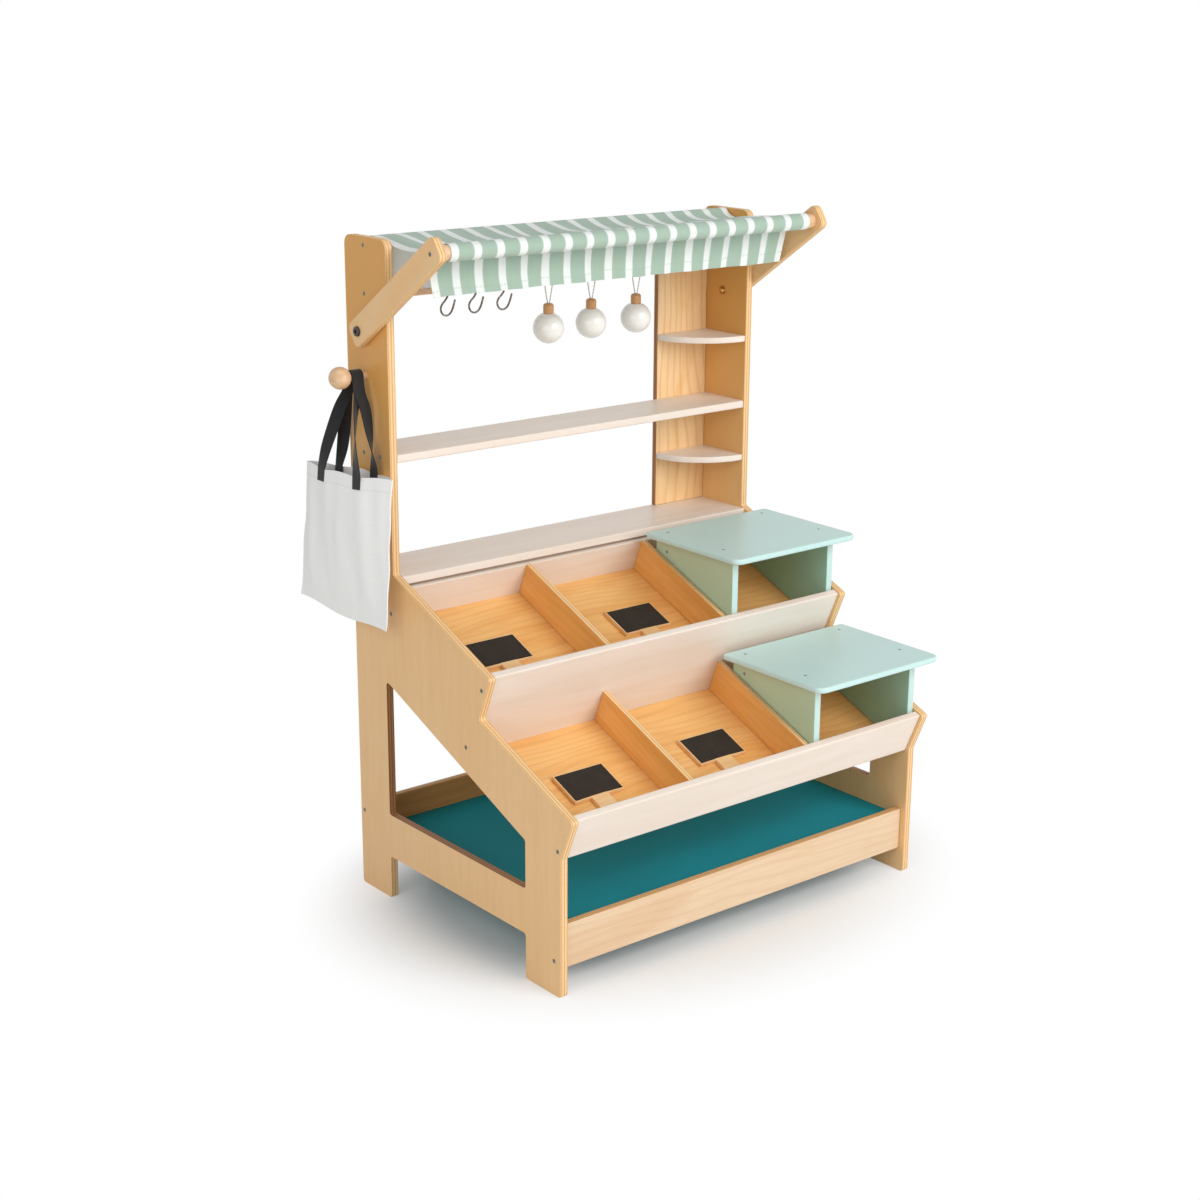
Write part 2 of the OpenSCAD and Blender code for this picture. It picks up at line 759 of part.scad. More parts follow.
// Hooks: an upper bend round the rail runs down and back into a lower bend that opens to the front; the
// lower bend is given as [forward, up] from its own middle for a radius of one
hook_middle_point = [7, -30];
hook_bend = [
    [0.19, 1.38], [-0.03, 0.94], [-0.41, 0.55], [-0.83, 0.21], [-1.12, -0.21], [-1.05, -0.66], [-0.62, -0.9],
    [-0.07, -0.87], [0.45, -0.61], [0.83, -0.19], [1.1, 0.31], [1.34, 0.86]
];
hook_top_r = rail_d / 2 + seat_gap + wire_d / 2;
hook_points = concat(
    [for (a = [205:-15:-20]) hook_top_r * [cos(a), sin(a)]],
    [for (p = hook_bend) hook_middle_point + hook_r * p]);
function curve_at(a, b, c, d, t) =
    0.5 * (2 * b + (c - a) * t + (2 * a - 5 * b + 4 * c - d) * t * t + (3 * b - a - 3 * c + d) * t * t * t);
function smoothed(points, steps) =
    let (n = len(points) - 1)
    concat([for (i = [0:n - 1]) for (k = [0:steps - 1])
            curve_at(points[max(i - 1, 0)], points[i], points[i + 1], points[min(i + 2, n)], k / steps)],
        [points[n]]);
hook_route = smoothed(hook_points, 3);
function wire_ring(route, j) =
    let (n = len(route) - 1, step = unit(route[min(j + 1, n)] - route[max(j - 1, 0)]))
    [for (k = [0:wire_sides - 1])
        let (a = 360 * k / wire_sides, side = [-step.y, step.x] * cos(a) * wire_d / 2)
        [sin(a) * wire_d / 2, -route[j].x - side.x, route[j].y + side.y]];

module rail_hook(x) {
    color(steel) at_rail(x) skin([for (j = [0:len(hook_route) - 1]) wire_ring(hook_route, j)]);
}

module hook_left() rail_hook(hook_x[0]);
module hook_middle() rail_hook(hook_x[1]);
module hook_right() rail_hook(hook_x[2]);

// Lamps: a ball with a flat under its wooden cap, hung on a cord loop over the rail
module lamp_ball(x) {
    color("white")
        at_rail(x) translate([0, 0, -lamp_drop])
            rotate_extrude($fn = 72)
                intersection() {
                    circle(d = lamp_d, $fn = 72);
                    translate([0, -lamp_d]) square([lamp_d, lamp_d + lamp_flat]);
                }
}

module lamp_cap(x) {
    ease = cap_d / 6;
    color("#CD9155")
        at_rail(x) translate([0, 0, -cord_drop - cap_h])
            rotate_extrude($fn = 48)
                polygon([
                    [0, 0], [cap_d / 2, 0], [cap_d / 2, cap_h - ease], [cap_d / 2 - ease, cap_h], [0, cap_h]
                ]);
}

function cord_ring(route, j) =
    let (n = len(route) - 1, step = unit(route[min(j + 1, n)] - route[max(j - 1, 0)]))
    let (along = j == 0 ? [-1, 0] : j == n ? [1, 0] : [-step.y, step.x])
    [for (k = [0:cord_sides - 1])
        let (a = 360 * k / cord_sides + 22.5, side = along * cos(a) * cord_d / 2)
        [sin(a) * cord_d / 2, -route[j].x - side.x, route[j].y + side.y]];

module lamp_cord(x) {
    color("#9A968F") at_rail(x) skin([for (j = [0:len(cord_route) - 1]) cord_ring(cord_route, j)]);
}

module lamp_ball_left() lamp_ball(lamp_x[0]);
module lamp_ball_middle() lamp_ball(lamp_x[1]);
module lamp_ball_right() lamp_ball(lamp_x[2]);
module lamp_cap_left() lamp_cap(lamp_x[0]);
module lamp_cap_middle() lamp_cap(lamp_x[1]);
module lamp_cap_right() lamp_cap(lamp_x[2]);
module lamp_cord_left() lamp_cord(lamp_x[0]);
module lamp_cord_middle() lamp_cord(lamp_x[1]);
module lamp_cord_right() lamp_cord(lamp_x[2]);

// Bag: a sewn pouch with an open mouth, hung by two straps over the peg
crown_inner = peg_stem_d / 2 + seat_gap;
bag_out = knob_out - sqrt(pow(knob_d / 2, 2) - pow(crown_inner, 2)) - seat_gap - strap_w / 2;
seam_r = 2;
module at_peg(out) {
    translate([-out - stall_w / 2, world_y(peg_point.x), peg_point.y]) rotate([bag_swing, 0, 0]) children();
}

// A pouch between its side seams, given as [height, half thickness] from mouth to bottom
module pouch(levels, thinner) {
    hull()
        for (level = levels) {
            translate([0, 0, level[0]]) {
                translate([0, bag_w / 2 - seam_r, 0]) cylinder(r = seam_r - thinner, h = overcut, $fn = 16);
                translate([0, seam_r - bag_w / 2, 0]) cylinder(r = seam_r - thinner, h = overcut, $fn = 16);
                cylinder(r = level[1] - thinner, h = overcut, $fn = 32);
            }
        }
}

module bag() {
    low = -bag_drop - bag_h;
    full = [low + bag_h / 3, bag_mouth];
    color("#F4F3F0")
        at_peg(bag_out)
            difference() {
                pouch([[-bag_drop - overcut, bag_mouth], full, [low, seam_r]], 0);
                pouch([[-bag_drop, bag_mouth], full, [low + bag_wall, seam_r]], bag_wall);
            }
}

// A strap lies flat on the bag, turns as it rises and crosses the peg; side is -1 outside and 1 inside
function strap_route(crown) =
    let (rise = [for (p = strap_half) [p[0] + (crown - crown_r) * p[4], p[1], p[2], p[3]]])
    concat(rise,
        [for (k = [0:8]) let (a = 22.5 * k) [crown * cos(a), crown * sin(a), 90, 0]],
        [for (p = reversed(rise)) [-p[0], p[1], p[2], p[3]]]);

// Half the bag's thickness at a strap's inner edge, where the strap lies on it
strap_edge = strap_half[2][0] - strap_w / 2;
lean = asin((bag_mouth - seam_r) / (bag_w / 2 - seam_r));
strap_lies = (bag_mouth - strap_edge * sin(lean)) / cos(lean) + seat_gap + strap_t / 2;
function strap_ring(route, j, side) =
    let (n = len(route) - 1, step = unit(flat(route[min(j + 1, n)]) - flat(route[max(j - 1, 0)])))
    let (along = [0, -step.x, step.y], turn = side * route[j][2])
    let (across_path = [0, -along.z, along.y] * cos(turn) + [1, 0, 0] * sin(turn))
    let (wide = across_path * strap_w / 2, thick = cross(along, across_path) * strap_t / 2)
    let (middle = [side * strap_lies * route[j][3], -route[j].x, route[j].y])
    [middle + wide + thick, middle - wide + thick, middle - wide - thick, middle + wide - thick];

module strap(side, crown) {
    route = strap_route(crown);
    color("#262524")
        at_peg(bag_out) skin([for (j = [0:len(route) - 1]) strap_ring(route, j, side)]);
}

crown_r = crown_inner + strap_t / 2;
module bag_outer_strap() strap(-1, crown_r);
module bag_inner_strap() strap(1, crown_r + strap_t + seat_gap);

left_side_panel();
right_side_panel();
ledge_board();
upper_back_board();
upper_tray_floor();
mid_board();
lower_tray_floor();
lower_front_board();
upper_divider_left();
upper_divider_right();
lower_divider_left();
lower_divider_right();
front_apron();
rear_apron();
base_shelf();
long_shelf();
column_back();
upper_corner_shelf();
lower_corner_shelf();
awning_rear_dowel();
hanging_rail();
bag_peg();
bag_peg_knob();
panel_screws();
arm_pivot_bolts();
arm_nuts();
left_awning_arm();
right_awning_arm();
awning_front_dowel();
arm_screws();
awning_canopy();
awning_valance();
upper_box_top();
upper_box_left_side();
upper_box_right_side();
upper_box_rear_rail();
lower_box_top();
lower_box_left_side();
lower_box_right_side();
lower_box_rear_rail();
upper_left_sign();
upper_middle_sign();
lower_left_sign();
lower_middle_sign();
hook_left();
hook_middle();
hook_right();
lamp_ball_left();
lamp_ball_middle();
lamp_ball_right();
lamp_cap_left();
lamp_cap_middle();
lamp_cap_right();
lamp_cord_left();
lamp_cord_middle();
lamp_cord_right();
bag();
bag_outer_strap();
bag_inner_strap();
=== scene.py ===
import json
import math
import bmesh
import bpy
from mathutils import Matrix, Vector, noise

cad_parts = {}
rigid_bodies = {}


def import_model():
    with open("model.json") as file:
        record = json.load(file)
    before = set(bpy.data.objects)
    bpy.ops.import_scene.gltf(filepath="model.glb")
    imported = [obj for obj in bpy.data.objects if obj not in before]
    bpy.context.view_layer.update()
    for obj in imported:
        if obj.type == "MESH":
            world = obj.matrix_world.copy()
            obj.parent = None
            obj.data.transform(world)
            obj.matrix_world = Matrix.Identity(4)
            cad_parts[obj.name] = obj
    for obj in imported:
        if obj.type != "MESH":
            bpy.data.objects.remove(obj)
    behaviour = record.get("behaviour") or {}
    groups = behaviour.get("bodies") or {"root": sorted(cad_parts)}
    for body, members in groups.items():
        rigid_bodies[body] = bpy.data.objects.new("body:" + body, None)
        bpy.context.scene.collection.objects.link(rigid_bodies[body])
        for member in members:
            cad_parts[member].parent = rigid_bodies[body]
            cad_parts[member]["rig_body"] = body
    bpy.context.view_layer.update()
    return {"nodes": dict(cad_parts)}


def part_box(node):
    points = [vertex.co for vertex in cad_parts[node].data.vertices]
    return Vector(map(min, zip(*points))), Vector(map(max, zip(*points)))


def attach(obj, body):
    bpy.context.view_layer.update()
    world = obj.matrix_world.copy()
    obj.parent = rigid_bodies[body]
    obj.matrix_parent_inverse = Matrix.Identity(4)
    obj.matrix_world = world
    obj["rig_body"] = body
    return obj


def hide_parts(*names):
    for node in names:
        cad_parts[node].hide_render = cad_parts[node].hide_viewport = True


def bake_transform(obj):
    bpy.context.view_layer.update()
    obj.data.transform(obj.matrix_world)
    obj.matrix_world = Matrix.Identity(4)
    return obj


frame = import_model()
nodes = frame["nodes"]
scene = bpy.context.scene
print("stall loaded with", len(nodes), "CAD nodes")

# camera at the photograph's place, fitted to the stall's straight edges
cameraView = {
    "place": (-1.9000, -2.2469, 1.3262),
    "azimuth": -39.687,
    "elevation": 16.957,
    "roll": 0.504,
    "lens": 61.634,
    "sensor": 36.0,
    "shift": (-0.01894, 0.0097),
}


def addObject(name, data):
    obj = bpy.data.objects.new(name, data)
    scene.collection.objects.link(obj)
    return obj


def placeCamera(view):
    az, el, roll = (math.radians(view[key]) for key in ("azimuth", "elevation", "roll"))
    back = Vector((math.sin(az) * math.cos(el), -math.cos(az) * math.cos(el), math.sin(el)))
    level = Vector((math.cos(az), math.sin(az), 0.0))
    over = back.cross(level)
    side = level * math.cos(roll) + over * math.sin(roll)
    top = over * math.cos(roll) - level * math.sin(roll)
    data = bpy.data.cameras.new("photoCamera")
    data.lens = view["lens"]
    data.sensor_width = view["sensor"]
    data.shift_x, data.shift_y = view["shift"]
    turn = Matrix((side, top, back)).transposed().to_4x4()
    scene.camera = addObject("photoCamera", data)
    scene.camera.matrix_world = Matrix.Translation(view["place"]) @ turn


placeCamera(cameraView)
scene.view_settings.view_transform = "Standard"
print("camera placed")


# helpers for materials
def linearColor(hexText):
    parts = [int(hexText[k:k + 2], 16) / 255 for k in (1, 3, 5)]
    return tuple(p / 12.92 if p <= 0.04045 else ((p + 0.055) / 1.055) ** 2.4 for p in parts) + (1.0,)


def addNode(tree, kind, sockets, **settings):
    # a hex text is a colour, and a node stands for its first output
    node = tree.nodes.new("ShaderNode" + kind)
    for key, value in settings.items():
        setattr(node, key, value)
    for key, value in sockets.items():
        if isinstance(value, str):
            value = linearColor(value)
        elif isinstance(value, bpy.types.Node):
            value = value.outputs[0]
        if isinstance(value, bpy.types.NodeSocket):
            tree.links.new(value, node.inputs[key])
        else:
            node.inputs[key].default_value = value
    return node


def startMaterial(name):
    material = bpy.data.materials.new(name)
    material.use_nodes = True
    tree = material.node_tree
    tree.nodes.clear()
    return material, tree, addNode(tree, "TexCoord", {}).outputs


def coverWith(material, sockets):
    tree = material.node_tree
    shader = addNode(tree, "BsdfPrincipled", sockets)
    addNode(tree, "OutputMaterial", {"Surface": shader})
    return material


def noiseScale(sizeMm):
    return 1000 / sizeMm


def waveScale(bandMm):
    # a wave texture of scale 1 repeats every 0.31416 m
    return 314.16 / bandMm


def grainScale(sizesMm):
    along, across = (noiseScale(size) for size in sizesMm)
    return along, across, across


# birch and other veneers under a thin satin lacquer: fine short fibres, thin growth lines that bend into soft
# flames, a low even sheen; sizes run along and across the grain, and the posts darken to amber with height, a
# painted shade
birchPanel = {"name": "birchVeneerUpright", "light": "#EAC089", "figure": "#E8BC83", "fibre": "#C99458",
              "turn": (0, 90, 0), "fibreMm": (30, 1.3), "figureMm": (240, 60), "fibreShare": 0.24,
              "gloss": 0.42, "ringMm": 22, "ringBend": 14, "ringShare": 0.05, "ringAxis": "Y",
              "warm": "#D69D4F", "warmFrom": 0.42, "warmTo": 0.82}
birchArm = dict(birchPanel, name="birchVeneerArm", warm=None, light="#E9C28E", turn=(34.5, 0, 90),
                ringAxis="X")
birchColumn = dict(birchPanel, name="birchVeneerColumn", warm=None, light="#F3CF9D", figure="#EBC088",
                   figureMm=(150, 38), ringMm=17, ringBend=22, ringShare=0.30, ringAxis="Z")
paleWash = {"name": "paleWashedBirch", "light": "#ECE0D5", "figure": "#E8DACC", "fibre": "#DECCBB",
            "turn": (0, 0, 0), "fibreMm": (60, 1.6), "figureMm": (320, 30), "fibreShare": 0.26,
            "gloss": 0.44, "ringMm": 18, "ringBend": 14, "ringShare": 0.07, "ringAxis": "Y", "warm": None}
apronBirch = dict(paleWash, name="birchVeneerApron", light="#E3C7A5", figure="#DDBB95", fibre="#CBA176",
                  fibreMm=(26, 1.4), figureMm=(300, 28), fibreShare=0.34, gloss=0.42, ringMm=15,
                  ringBend=20, ringShare=0.20, ringAxis="Z")
# painted shade: a darker, redder copy of the apron birch for the rear apron, whose inner face lies in shade
# under the shelf
rearBirchShaded = dict(apronBirch, name="birchVeneerRearShaded", light="#DBA466", figure="#CE9453", fibre="#AD763F")
honeyFloor = dict(paleWash, name="honeyVeneerFloor", light="#F2C07A", figure="#ECB268", fibre="#C98638",
                  turn=(-22.5, 0, 0), fibreMm=(40, 1.5), figureMm=(210, 40), fibreShare=0.30, gloss=0.38,
                  ringMm=13, ringBend=24, ringShare=0.20)
honeyDivider = dict(honeyFloor, name="honeyVeneerDivider", light="#EAB064", figure="#E2A355",
                    turn=(-22.5, 0, -90), figureMm=(240, 30), ringShare=0.16, ringAxis="Z")
paleSign = dict(honeyFloor, name="paleSignVeneer", light="#EFCB99", figure="#E8BD85", fibre="#D3A466",
                ringShare=0.10)
turnedDowel = dict(paleWash, name="turnedBeechDowel", light="#E9C6A0", figure="#DDB288", fibre="#C39467",
                   fibreMm=(30, 0.9), figureMm=(180, 12), fibreShare=0.45, gloss=0.45, ringMm=9, ringBend=6,
                   ringShare=0.15)
turnedCap = dict(turnedDowel, name="turnedCherryCap", light="#D2A06A", figure="#C38B53", fibre="#A46C37",
                 turn=(0, 90, 0))
turnedKnob = dict(turnedDowel, name="turnedBeechKnob", light="#E0BF9A", figure="#D3AB80", figureMm=(60, 9))


def lacqueredWood(look):
    material, tree, coords = startMaterial(look["name"])
    turn = tuple(math.radians(angle) for angle in look["turn"])
    turned = addNode(tree, "Mapping", {"Vector": coords["Object"], "Rotation": turn})
    fibreMap = addNode(tree, "Mapping", {"Vector": turned, "Scale": grainScale(look["fibreMm"])})
    fibre = addNode(tree, "TexNoise", {"Vector": fibreMap, "Scale": 1.0, "Detail": 3.0, "Roughness": 0.6})
    figureMap = addNode(tree, "Mapping", {"Vector": turned, "Scale": grainScale(look["figureMm"])})
    figure = addNode(tree, "TexNoise", {"Vector": figureMap, "Scale": 1.0, "Detail": 2.5, "Roughness": 0.5,
                                        "Distortion": 0.9})
    flame = addNode(tree, "MapRange", {"Value": figure, "From Min": 0.36, "From Max": 0.66},
                    interpolation_type="SMOOTHSTEP")
    base = addNode(tree, "Mix", {0: flame, 6: look["light"], 7: look["figure"]}, data_type="RGBA")
    line = addNode(tree, "MapRange", {"Value": fibre, "From Min": 0.46, "From Max": 0.80,
                                      "To Max": look["fibreShare"]})
    streaked = addNode(tree, "Mix", {0: line, 6: base.outputs[2], 7: look["fibre"]}, data_type="RGBA")
    # growth lines: bands across the grain, stretched along it and bent by slow noise
    ringMap = addNode(tree, "Mapping", {"Vector": turned, "Scale": (0.30, 1.0, 1.0)})
    ring = addNode(tree, "TexWave", {"Vector": ringMap, "Scale": waveScale(look["ringMm"]),
                                     "Distortion": look["ringBend"], "Detail": 1.5, "Detail Scale": 0.42,
                                     "Detail Roughness": 0.45}, bands_direction=look["ringAxis"])
    growth = addNode(tree, "MapRange", {"Value": ring.outputs[1], "From Min": 0.62,
                                        "To Max": look["ringShare"]})
    ringed = addNode(tree, "Mix", {0: growth, 6: streaked.outputs[2], 7: look["fibre"]}, data_type="RGBA")
    color = ringed.outputs[2]
    # painted shade: the colour turns a darker amber towards the tops of the posts, as under the awning
    if look["warm"]:
        split = addNode(tree, "SeparateXYZ", {0: coords["Object"]})
        shadeShare = addNode(tree, "MapRange", {"Value": split.outputs[2], "From Min": look["warmFrom"],
                                          "From Max": look["warmTo"]})
        color = addNode(tree, "Mix", {0: shadeShare, 6: color, 7: look["warm"]}, data_type="RGBA").outputs[2]
    sheen = addNode(tree, "MapRange", {"Value": fibre, "To Min": look["gloss"] - 0.05,
                                       "To Max": look["gloss"] + 0.09})
    pores = addNode(tree, "Bump", {"Height": fibre, "Strength": 0.10, "Distance": 0.0003})
    return coverWith(material, {"Base Color": color, "Roughness": sheen, "Normal": pores, "IOR": 1.5,
                                "Coat Weight": 0.12, "Coat Roughness": 0.3})


# sawn plywood edge: pale plies with darker cross plies between, drawn 2.4 mm thick so that they show; inside
# cuts are darker sawn edges with painted shade added, and the raw edge in the gap under the ledge is painted
# dark as shade
plyEdge = {"light": "#EFCB98", "cross": "#D7A569", "plyMm": 2.4, "grainMm": 2.381, "gloss": 0.55}
tannedEdge = dict(plyEdge, light="#D9AC74", cross="#C4925B")
# painted shade: a dull dark brown for the raw edge in the gap under the ledge
gapShadeEdge = dict(plyEdge, light="#AD927D", cross="#9C816B", gloss=0.80)
# darker sawn edge with painted shade, for the window's inner edges and the column's edges, which lie in shade
shadedSawnEdge = dict(plyEdge, light="#AE7C4C", cross="#8C5C33", gloss=0.60)


def sawnPlyEdge(name, axis, look):
    material, tree, coords = startMaterial(name)
    split = addNode(tree, "SeparateXYZ", {0: coords["Object"]})
    depth = addNode(tree, "Math", {0: split.outputs[axis]}, operation="ABSOLUTE")
    plies = addNode(tree, "Math", {0: depth, 1: noiseScale(look["plyMm"])}, operation="MULTIPLY")
    swing = addNode(tree, "Math", {0: plies, 1: 1.0}, operation="PINGPONG")
    grain = addNode(tree, "TexNoise", {"Vector": coords["Object"], "Scale": noiseScale(look["grainMm"])})
    mixed = addNode(tree, "Math", {0: grain, 1: 0.5, 2: swing}, operation="MULTIPLY_ADD")
    cross = addNode(tree, "MapRange", {"Value": mixed, "From Min": 0.62, "From Max": 0.95})
    tone = addNode(tree, "Mix", {0: cross, 6: look["light"], 7: look["cross"]}, data_type="RGBA")
    rough = addNode(tree, "Bump", {"Height": mixed, "Strength": 0.12, "Distance": 0.0003})
    return coverWith(material, {"Base Color": tone.outputs[2], "Roughness": look["gloss"], "Normal": rough,
                                "IOR": 1.5})


# sprayed satin paint on board: even colour with faint orange peel about 2 mm wide
aquaPaint = {"name": "satinAquaPaint", "color": "#C7E4E1", "shade": "#BEDDD9", "cloudMm": 111.11,
             "peelMm": 2.0, "gloss": 0.40, "ior": 1.45, "coat": 0.1}
# painted shade: greener, darker copies of the aqua paint stand for shade and the warm light thrown back from
# the tray floor on the box sides and rear rails, and are deeper still on the right sides
aquaSideShaded = dict(aquaPaint, name="satinAquaPaintSideShaded", color="#BBD3B6", shade="#B1CAAB")
aquaInsideShaded = dict(aquaPaint, name="satinAquaPaintInsideShaded", color="#A5D4C1", shade="#9BCBB7")
tealPaint = dict(aquaPaint, name="mattTealPaint", color="#0D90A0", shade="#0A8391", peelMm=2.5, gloss=0.74,
                 ior=1.32, coat=0.0)
whitePaint = dict(aquaPaint, name="satinWhitePaint", color="#F3F2EC", shade="#EDEBE4", peelMm=1.6, gloss=0.22,
                  ior=1.5, coat=0.3)


def satinPaint(look):
    material, tree, coords = startMaterial(look["name"])
    cloud = addNode(tree, "TexNoise", {"Vector": coords["Object"], "Scale": noiseScale(look["cloudMm"])})
    tone = addNode(tree, "Mix", {0: cloud, 6: look["color"], 7: look["shade"]}, data_type="RGBA")
    peel = addNode(tree, "TexNoise", {"Vector": coords["Object"], "Scale": noiseScale(look["peelMm"])})
    sheen = addNode(tree, "MapRange", {"Value": peel, "To Min": look["gloss"] - 0.04,
                                       "To Max": look["gloss"] + 0.06})
    skin = addNode(tree, "Bump", {"Height": peel, "Strength": 0.05, "Distance": 0.0003})
    return coverWith(material, {"Base Color": tone.outputs[2], "Roughness": sheen, "Normal": skin,
                                "IOR": look["ior"], "Coat Weight": look["coat"], "Coat Roughness": 0.2})


# blackboard paint: matt brown black with rubbed chalk haze and a fine tooth
chalkPaint = {"name": "mattChalkboardPaint", "color": "#29231D", "haze": "#332C25", "hazeMm": 28,
              "gritMm": 0.9091}


def mattChalkboard(look):
    material, tree, coords = startMaterial(look["name"])
    rub = addNode(tree, "TexNoise", {"Vector": coords["Object"], "Scale": noiseScale(look["hazeMm"]),
                                     "Detail": 5.0, "Roughness": 0.65})
    haze = addNode(tree, "MapRange", {"Value": rub, "From Min": 0.42, "From Max": 0.78})
    tone = addNode(tree, "Mix", {0: haze, 6: look["color"], 7: look["haze"]}, data_type="RGBA")
    grit = addNode(tree, "TexNoise", {"Vector": coords["Object"], "Scale": noiseScale(look["gritMm"])})
    tooth = addNode(tree, "Bump", {"Height": grit, "Strength": 0.10, "Distance": 0.0002})
    return coverWith(material, {"Base Color": tone.outputs[2], "Roughness": 0.9, "Normal": tooth, "IOR": 1.4})


# plated steel: bolts are blackened, screws zinc grey, hooks nickel, nuts brassy, all faintly worn
blackSteel = {"name": "blackenedSteel", "color": "#4C4A48", "worn": "#6A6660", "wearMm": 3.846, "gloss": 0.38}
zincSteel = dict(blackSteel, name="zincPlatedSteel", color="#7C7A76", worn="#A8A49E", gloss=0.34)
nickelWire = dict(blackSteel, name="nickelPlatedWire", color="#77706A", worn="#A59D94", gloss=0.16)
brassNut = dict(blackSteel, name="brassPlatedNut", color="#B58A4E", worn="#D9B274", gloss=0.26)


def platedMetal(look):
    material, tree, coords = startMaterial(look["name"])
    wear = addNode(tree, "TexNoise", {"Vector": coords["Object"], "Scale": noiseScale(look["wearMm"]),
                                      "Detail": 3.0})
    worn = addNode(tree, "MapRange", {"Value": wear, "From Min": 0.45, "From Max": 0.75})
    tone = addNode(tree, "Mix", {0: worn, 6: look["color"], 7: look["worn"]}, data_type="RGBA")
    sheen = addNode(tree, "MapRange", {"Value": wear, "To Min": look["gloss"] - 0.06,
                                       "To Max": look["gloss"] + 0.10})
    return coverWith(material, {"Base Color": tone.outputs[2], "Roughness": sheen, "Metallic": 1.0})


# threads both ways and rows of sewing, on the flat map of a cloth
def plainWeave(tree, flat, threadMm, slack):
    threads = {"Vector": flat, "Scale": waveScale(threadMm), "Distortion": slack}
    warp, weft = (addNode(tree, "TexWave", threads, bands_direction=way) for way in "XY")
    return addNode(tree, "Math", {0: warp.outputs[1], 1: weft.outputs[1]}, operation="ADD")


def sewRows(tree, flat, sewing, color, height):
    # each row shows as a faint line of thread and pulls the cloth down
    split = addNode(tree, "SeparateXYZ", {0: flat})
    thread = 1.0
    if sewing["dashMm"]:
        dashes = noiseScale(sewing["dashMm"])
        dash = addNode(tree, "Math", {0: split.outputs[0], 1: dashes}, operation="MULTIPLY")
        gap = addNode(tree, "Math", {0: dash, 1: 1.0}, operation="PINGPONG")
        thread = addNode(tree, "MapRange", {"Value": gap, "From Min": 0.2, "From Max": 0.4})
    inner, outer = sewing["fades"]
    for row in sewing["rows"]:
        near = addNode(tree, "Math", {0: split.outputs[1], 1: row}, operation="SUBTRACT")
        far = addNode(tree, "Math", {0: near}, operation="ABSOLUTE")
        line = addNode(tree, "MapRange", {"Value": far, "From Min": inner, "From Max": outer,
                                          "To Min": 1.0, "To Max": 0.0})
        stitch = addNode(tree, "Math", {0: line, 1: thread}, operation="MULTIPLY")
        share = addNode(tree, "Math", {0: stitch, 1: sewing["share"]}, operation="MULTIPLY")
        color = addNode(tree, "Mix", {0: share, 6: color, 7: sewing["tone"]}, data_type="RGBA").outputs[2]
        height = addNode(tree, "Math", {0: stitch, 1: sewing["pull"], 2: height}, operation="MULTIPLY_ADD")
    return color, height


# plain woven cotton, printed on one side: sage stripes with slightly soft edges, matt, threads 1.4 mm wide
stripedCotton = {"sage": "#A4BAA9", "white": "#E9EDEA", "pitchMm": 38.24, "whiteMm": 12.6,
                 "firstSageMm": -319.1, "waverMm": 5.0, "waverSpanMm": 71.43, "threadMm": 1.4,
                 "crumpleMm": (34, 80), "softEdge": 0.022, "reverse": 0.10}
valanceSewing = {"rows": (0.0572, 0.0586), "fades": (0.0003, 0.0011), "tone": "#97B3A2", "share": 0.28,
                 "pull": -3.0, "dashMm": 3.2}
noSewing = dict(valanceSewing, rows=(), dashMm=None)


def stripedCloth(name, strength, sewing):
    look = stripedCotton
    material, tree, coords = startMaterial(name)
    split = addNode(tree, "SeparateXYZ", {0: coords["Object"]})
    waver = addNode(tree, "TexNoise", {"Vector": coords["Object"], "Scale": noiseScale(look["waverSpanMm"])})
    pushed = addNode(tree, "Math", {0: waver, 1: look["waverMm"] / 1000, 2: split.outputs[0]},
                     operation="MULTIPLY_ADD")
    whiteMiddle = (look["firstSageMm"] - look["whiteMm"] / 2 + look["waverMm"] / 2) / look["pitchMm"]
    phase = addNode(tree, "Math", {0: pushed, 1: noiseScale(look["pitchMm"]), 2: 0.5 - whiteMiddle},
                    operation="MULTIPLY_ADD")
    part = addNode(tree, "Math", {0: phase}, operation="FRACT")
    off = addNode(tree, "Math", {0: part, 1: 0.5}, operation="SUBTRACT")
    away = addNode(tree, "Math", {0: off}, operation="ABSOLUTE")
    half = look["whiteMm"] / look["pitchMm"] / 2
    stripe = addNode(tree, "MapRange", {"Value": away, "From Min": half - look["softEdge"],
                                        "From Max": half + look["softEdge"], "To Max": strength})
    tone = addNode(tree, "Mix", {0: stripe, 6: look["white"], 7: look["sage"]}, data_type="RGBA")
    weave = plainWeave(tree, coords["UV"], look["threadMm"], 0.6)
    dim = addNode(tree, "MapRange", {"Value": weave, "From Max": 2.0, "To Min": 0.93, "To Max": 1.03})
    woven = addNode(tree, "Mix", {0: 1.0, 6: tone.outputs[2], 7: dim}, data_type="RGBA",
                    blend_type="MULTIPLY")
    color, height = sewRows(tree, coords["UV"], sewing, woven.outputs[2], weave)
    laid = addNode(tree, "Mapping", {"Vector": coords["UV"], "Scale": grainScale(look["crumpleMm"])})
    crumple = addNode(tree, "TexNoise", {"Vector": laid, "Scale": 1.0, "Detail": 2.5, "Distortion": 0.6})
    folds = addNode(tree, "Bump", {"Height": crumple, "Strength": 0.55, "Distance": 0.006})
    threads = addNode(tree, "Bump", {"Height": height, "Normal": folds, "Strength": 0.20, "Distance": 0.0004})
    return coverWith(material, {"Base Color": color, "Roughness": 0.88, "Normal": threads, "IOR": 1.45,
                                "Sheen Weight": 0.25, "Sheen Roughness": 0.5})


# white cotton canvas: heavy plain weave with slubs, and two rows of sewing under the mouth
canvasLook = {"name": "heavyCottonCanvas", "color": "#F5F5F3", "slub": "#F3F3F1", "threadMm": 1.5,
              "slubMm": (16.667, 3.846)}
mouthSewing = {"rows": (0.018, 0.0195), "fades": (0.0002, 0.0007), "tone": "#C9C7C2", "share": 0.22,
               "pull": -0.66, "dashMm": None}


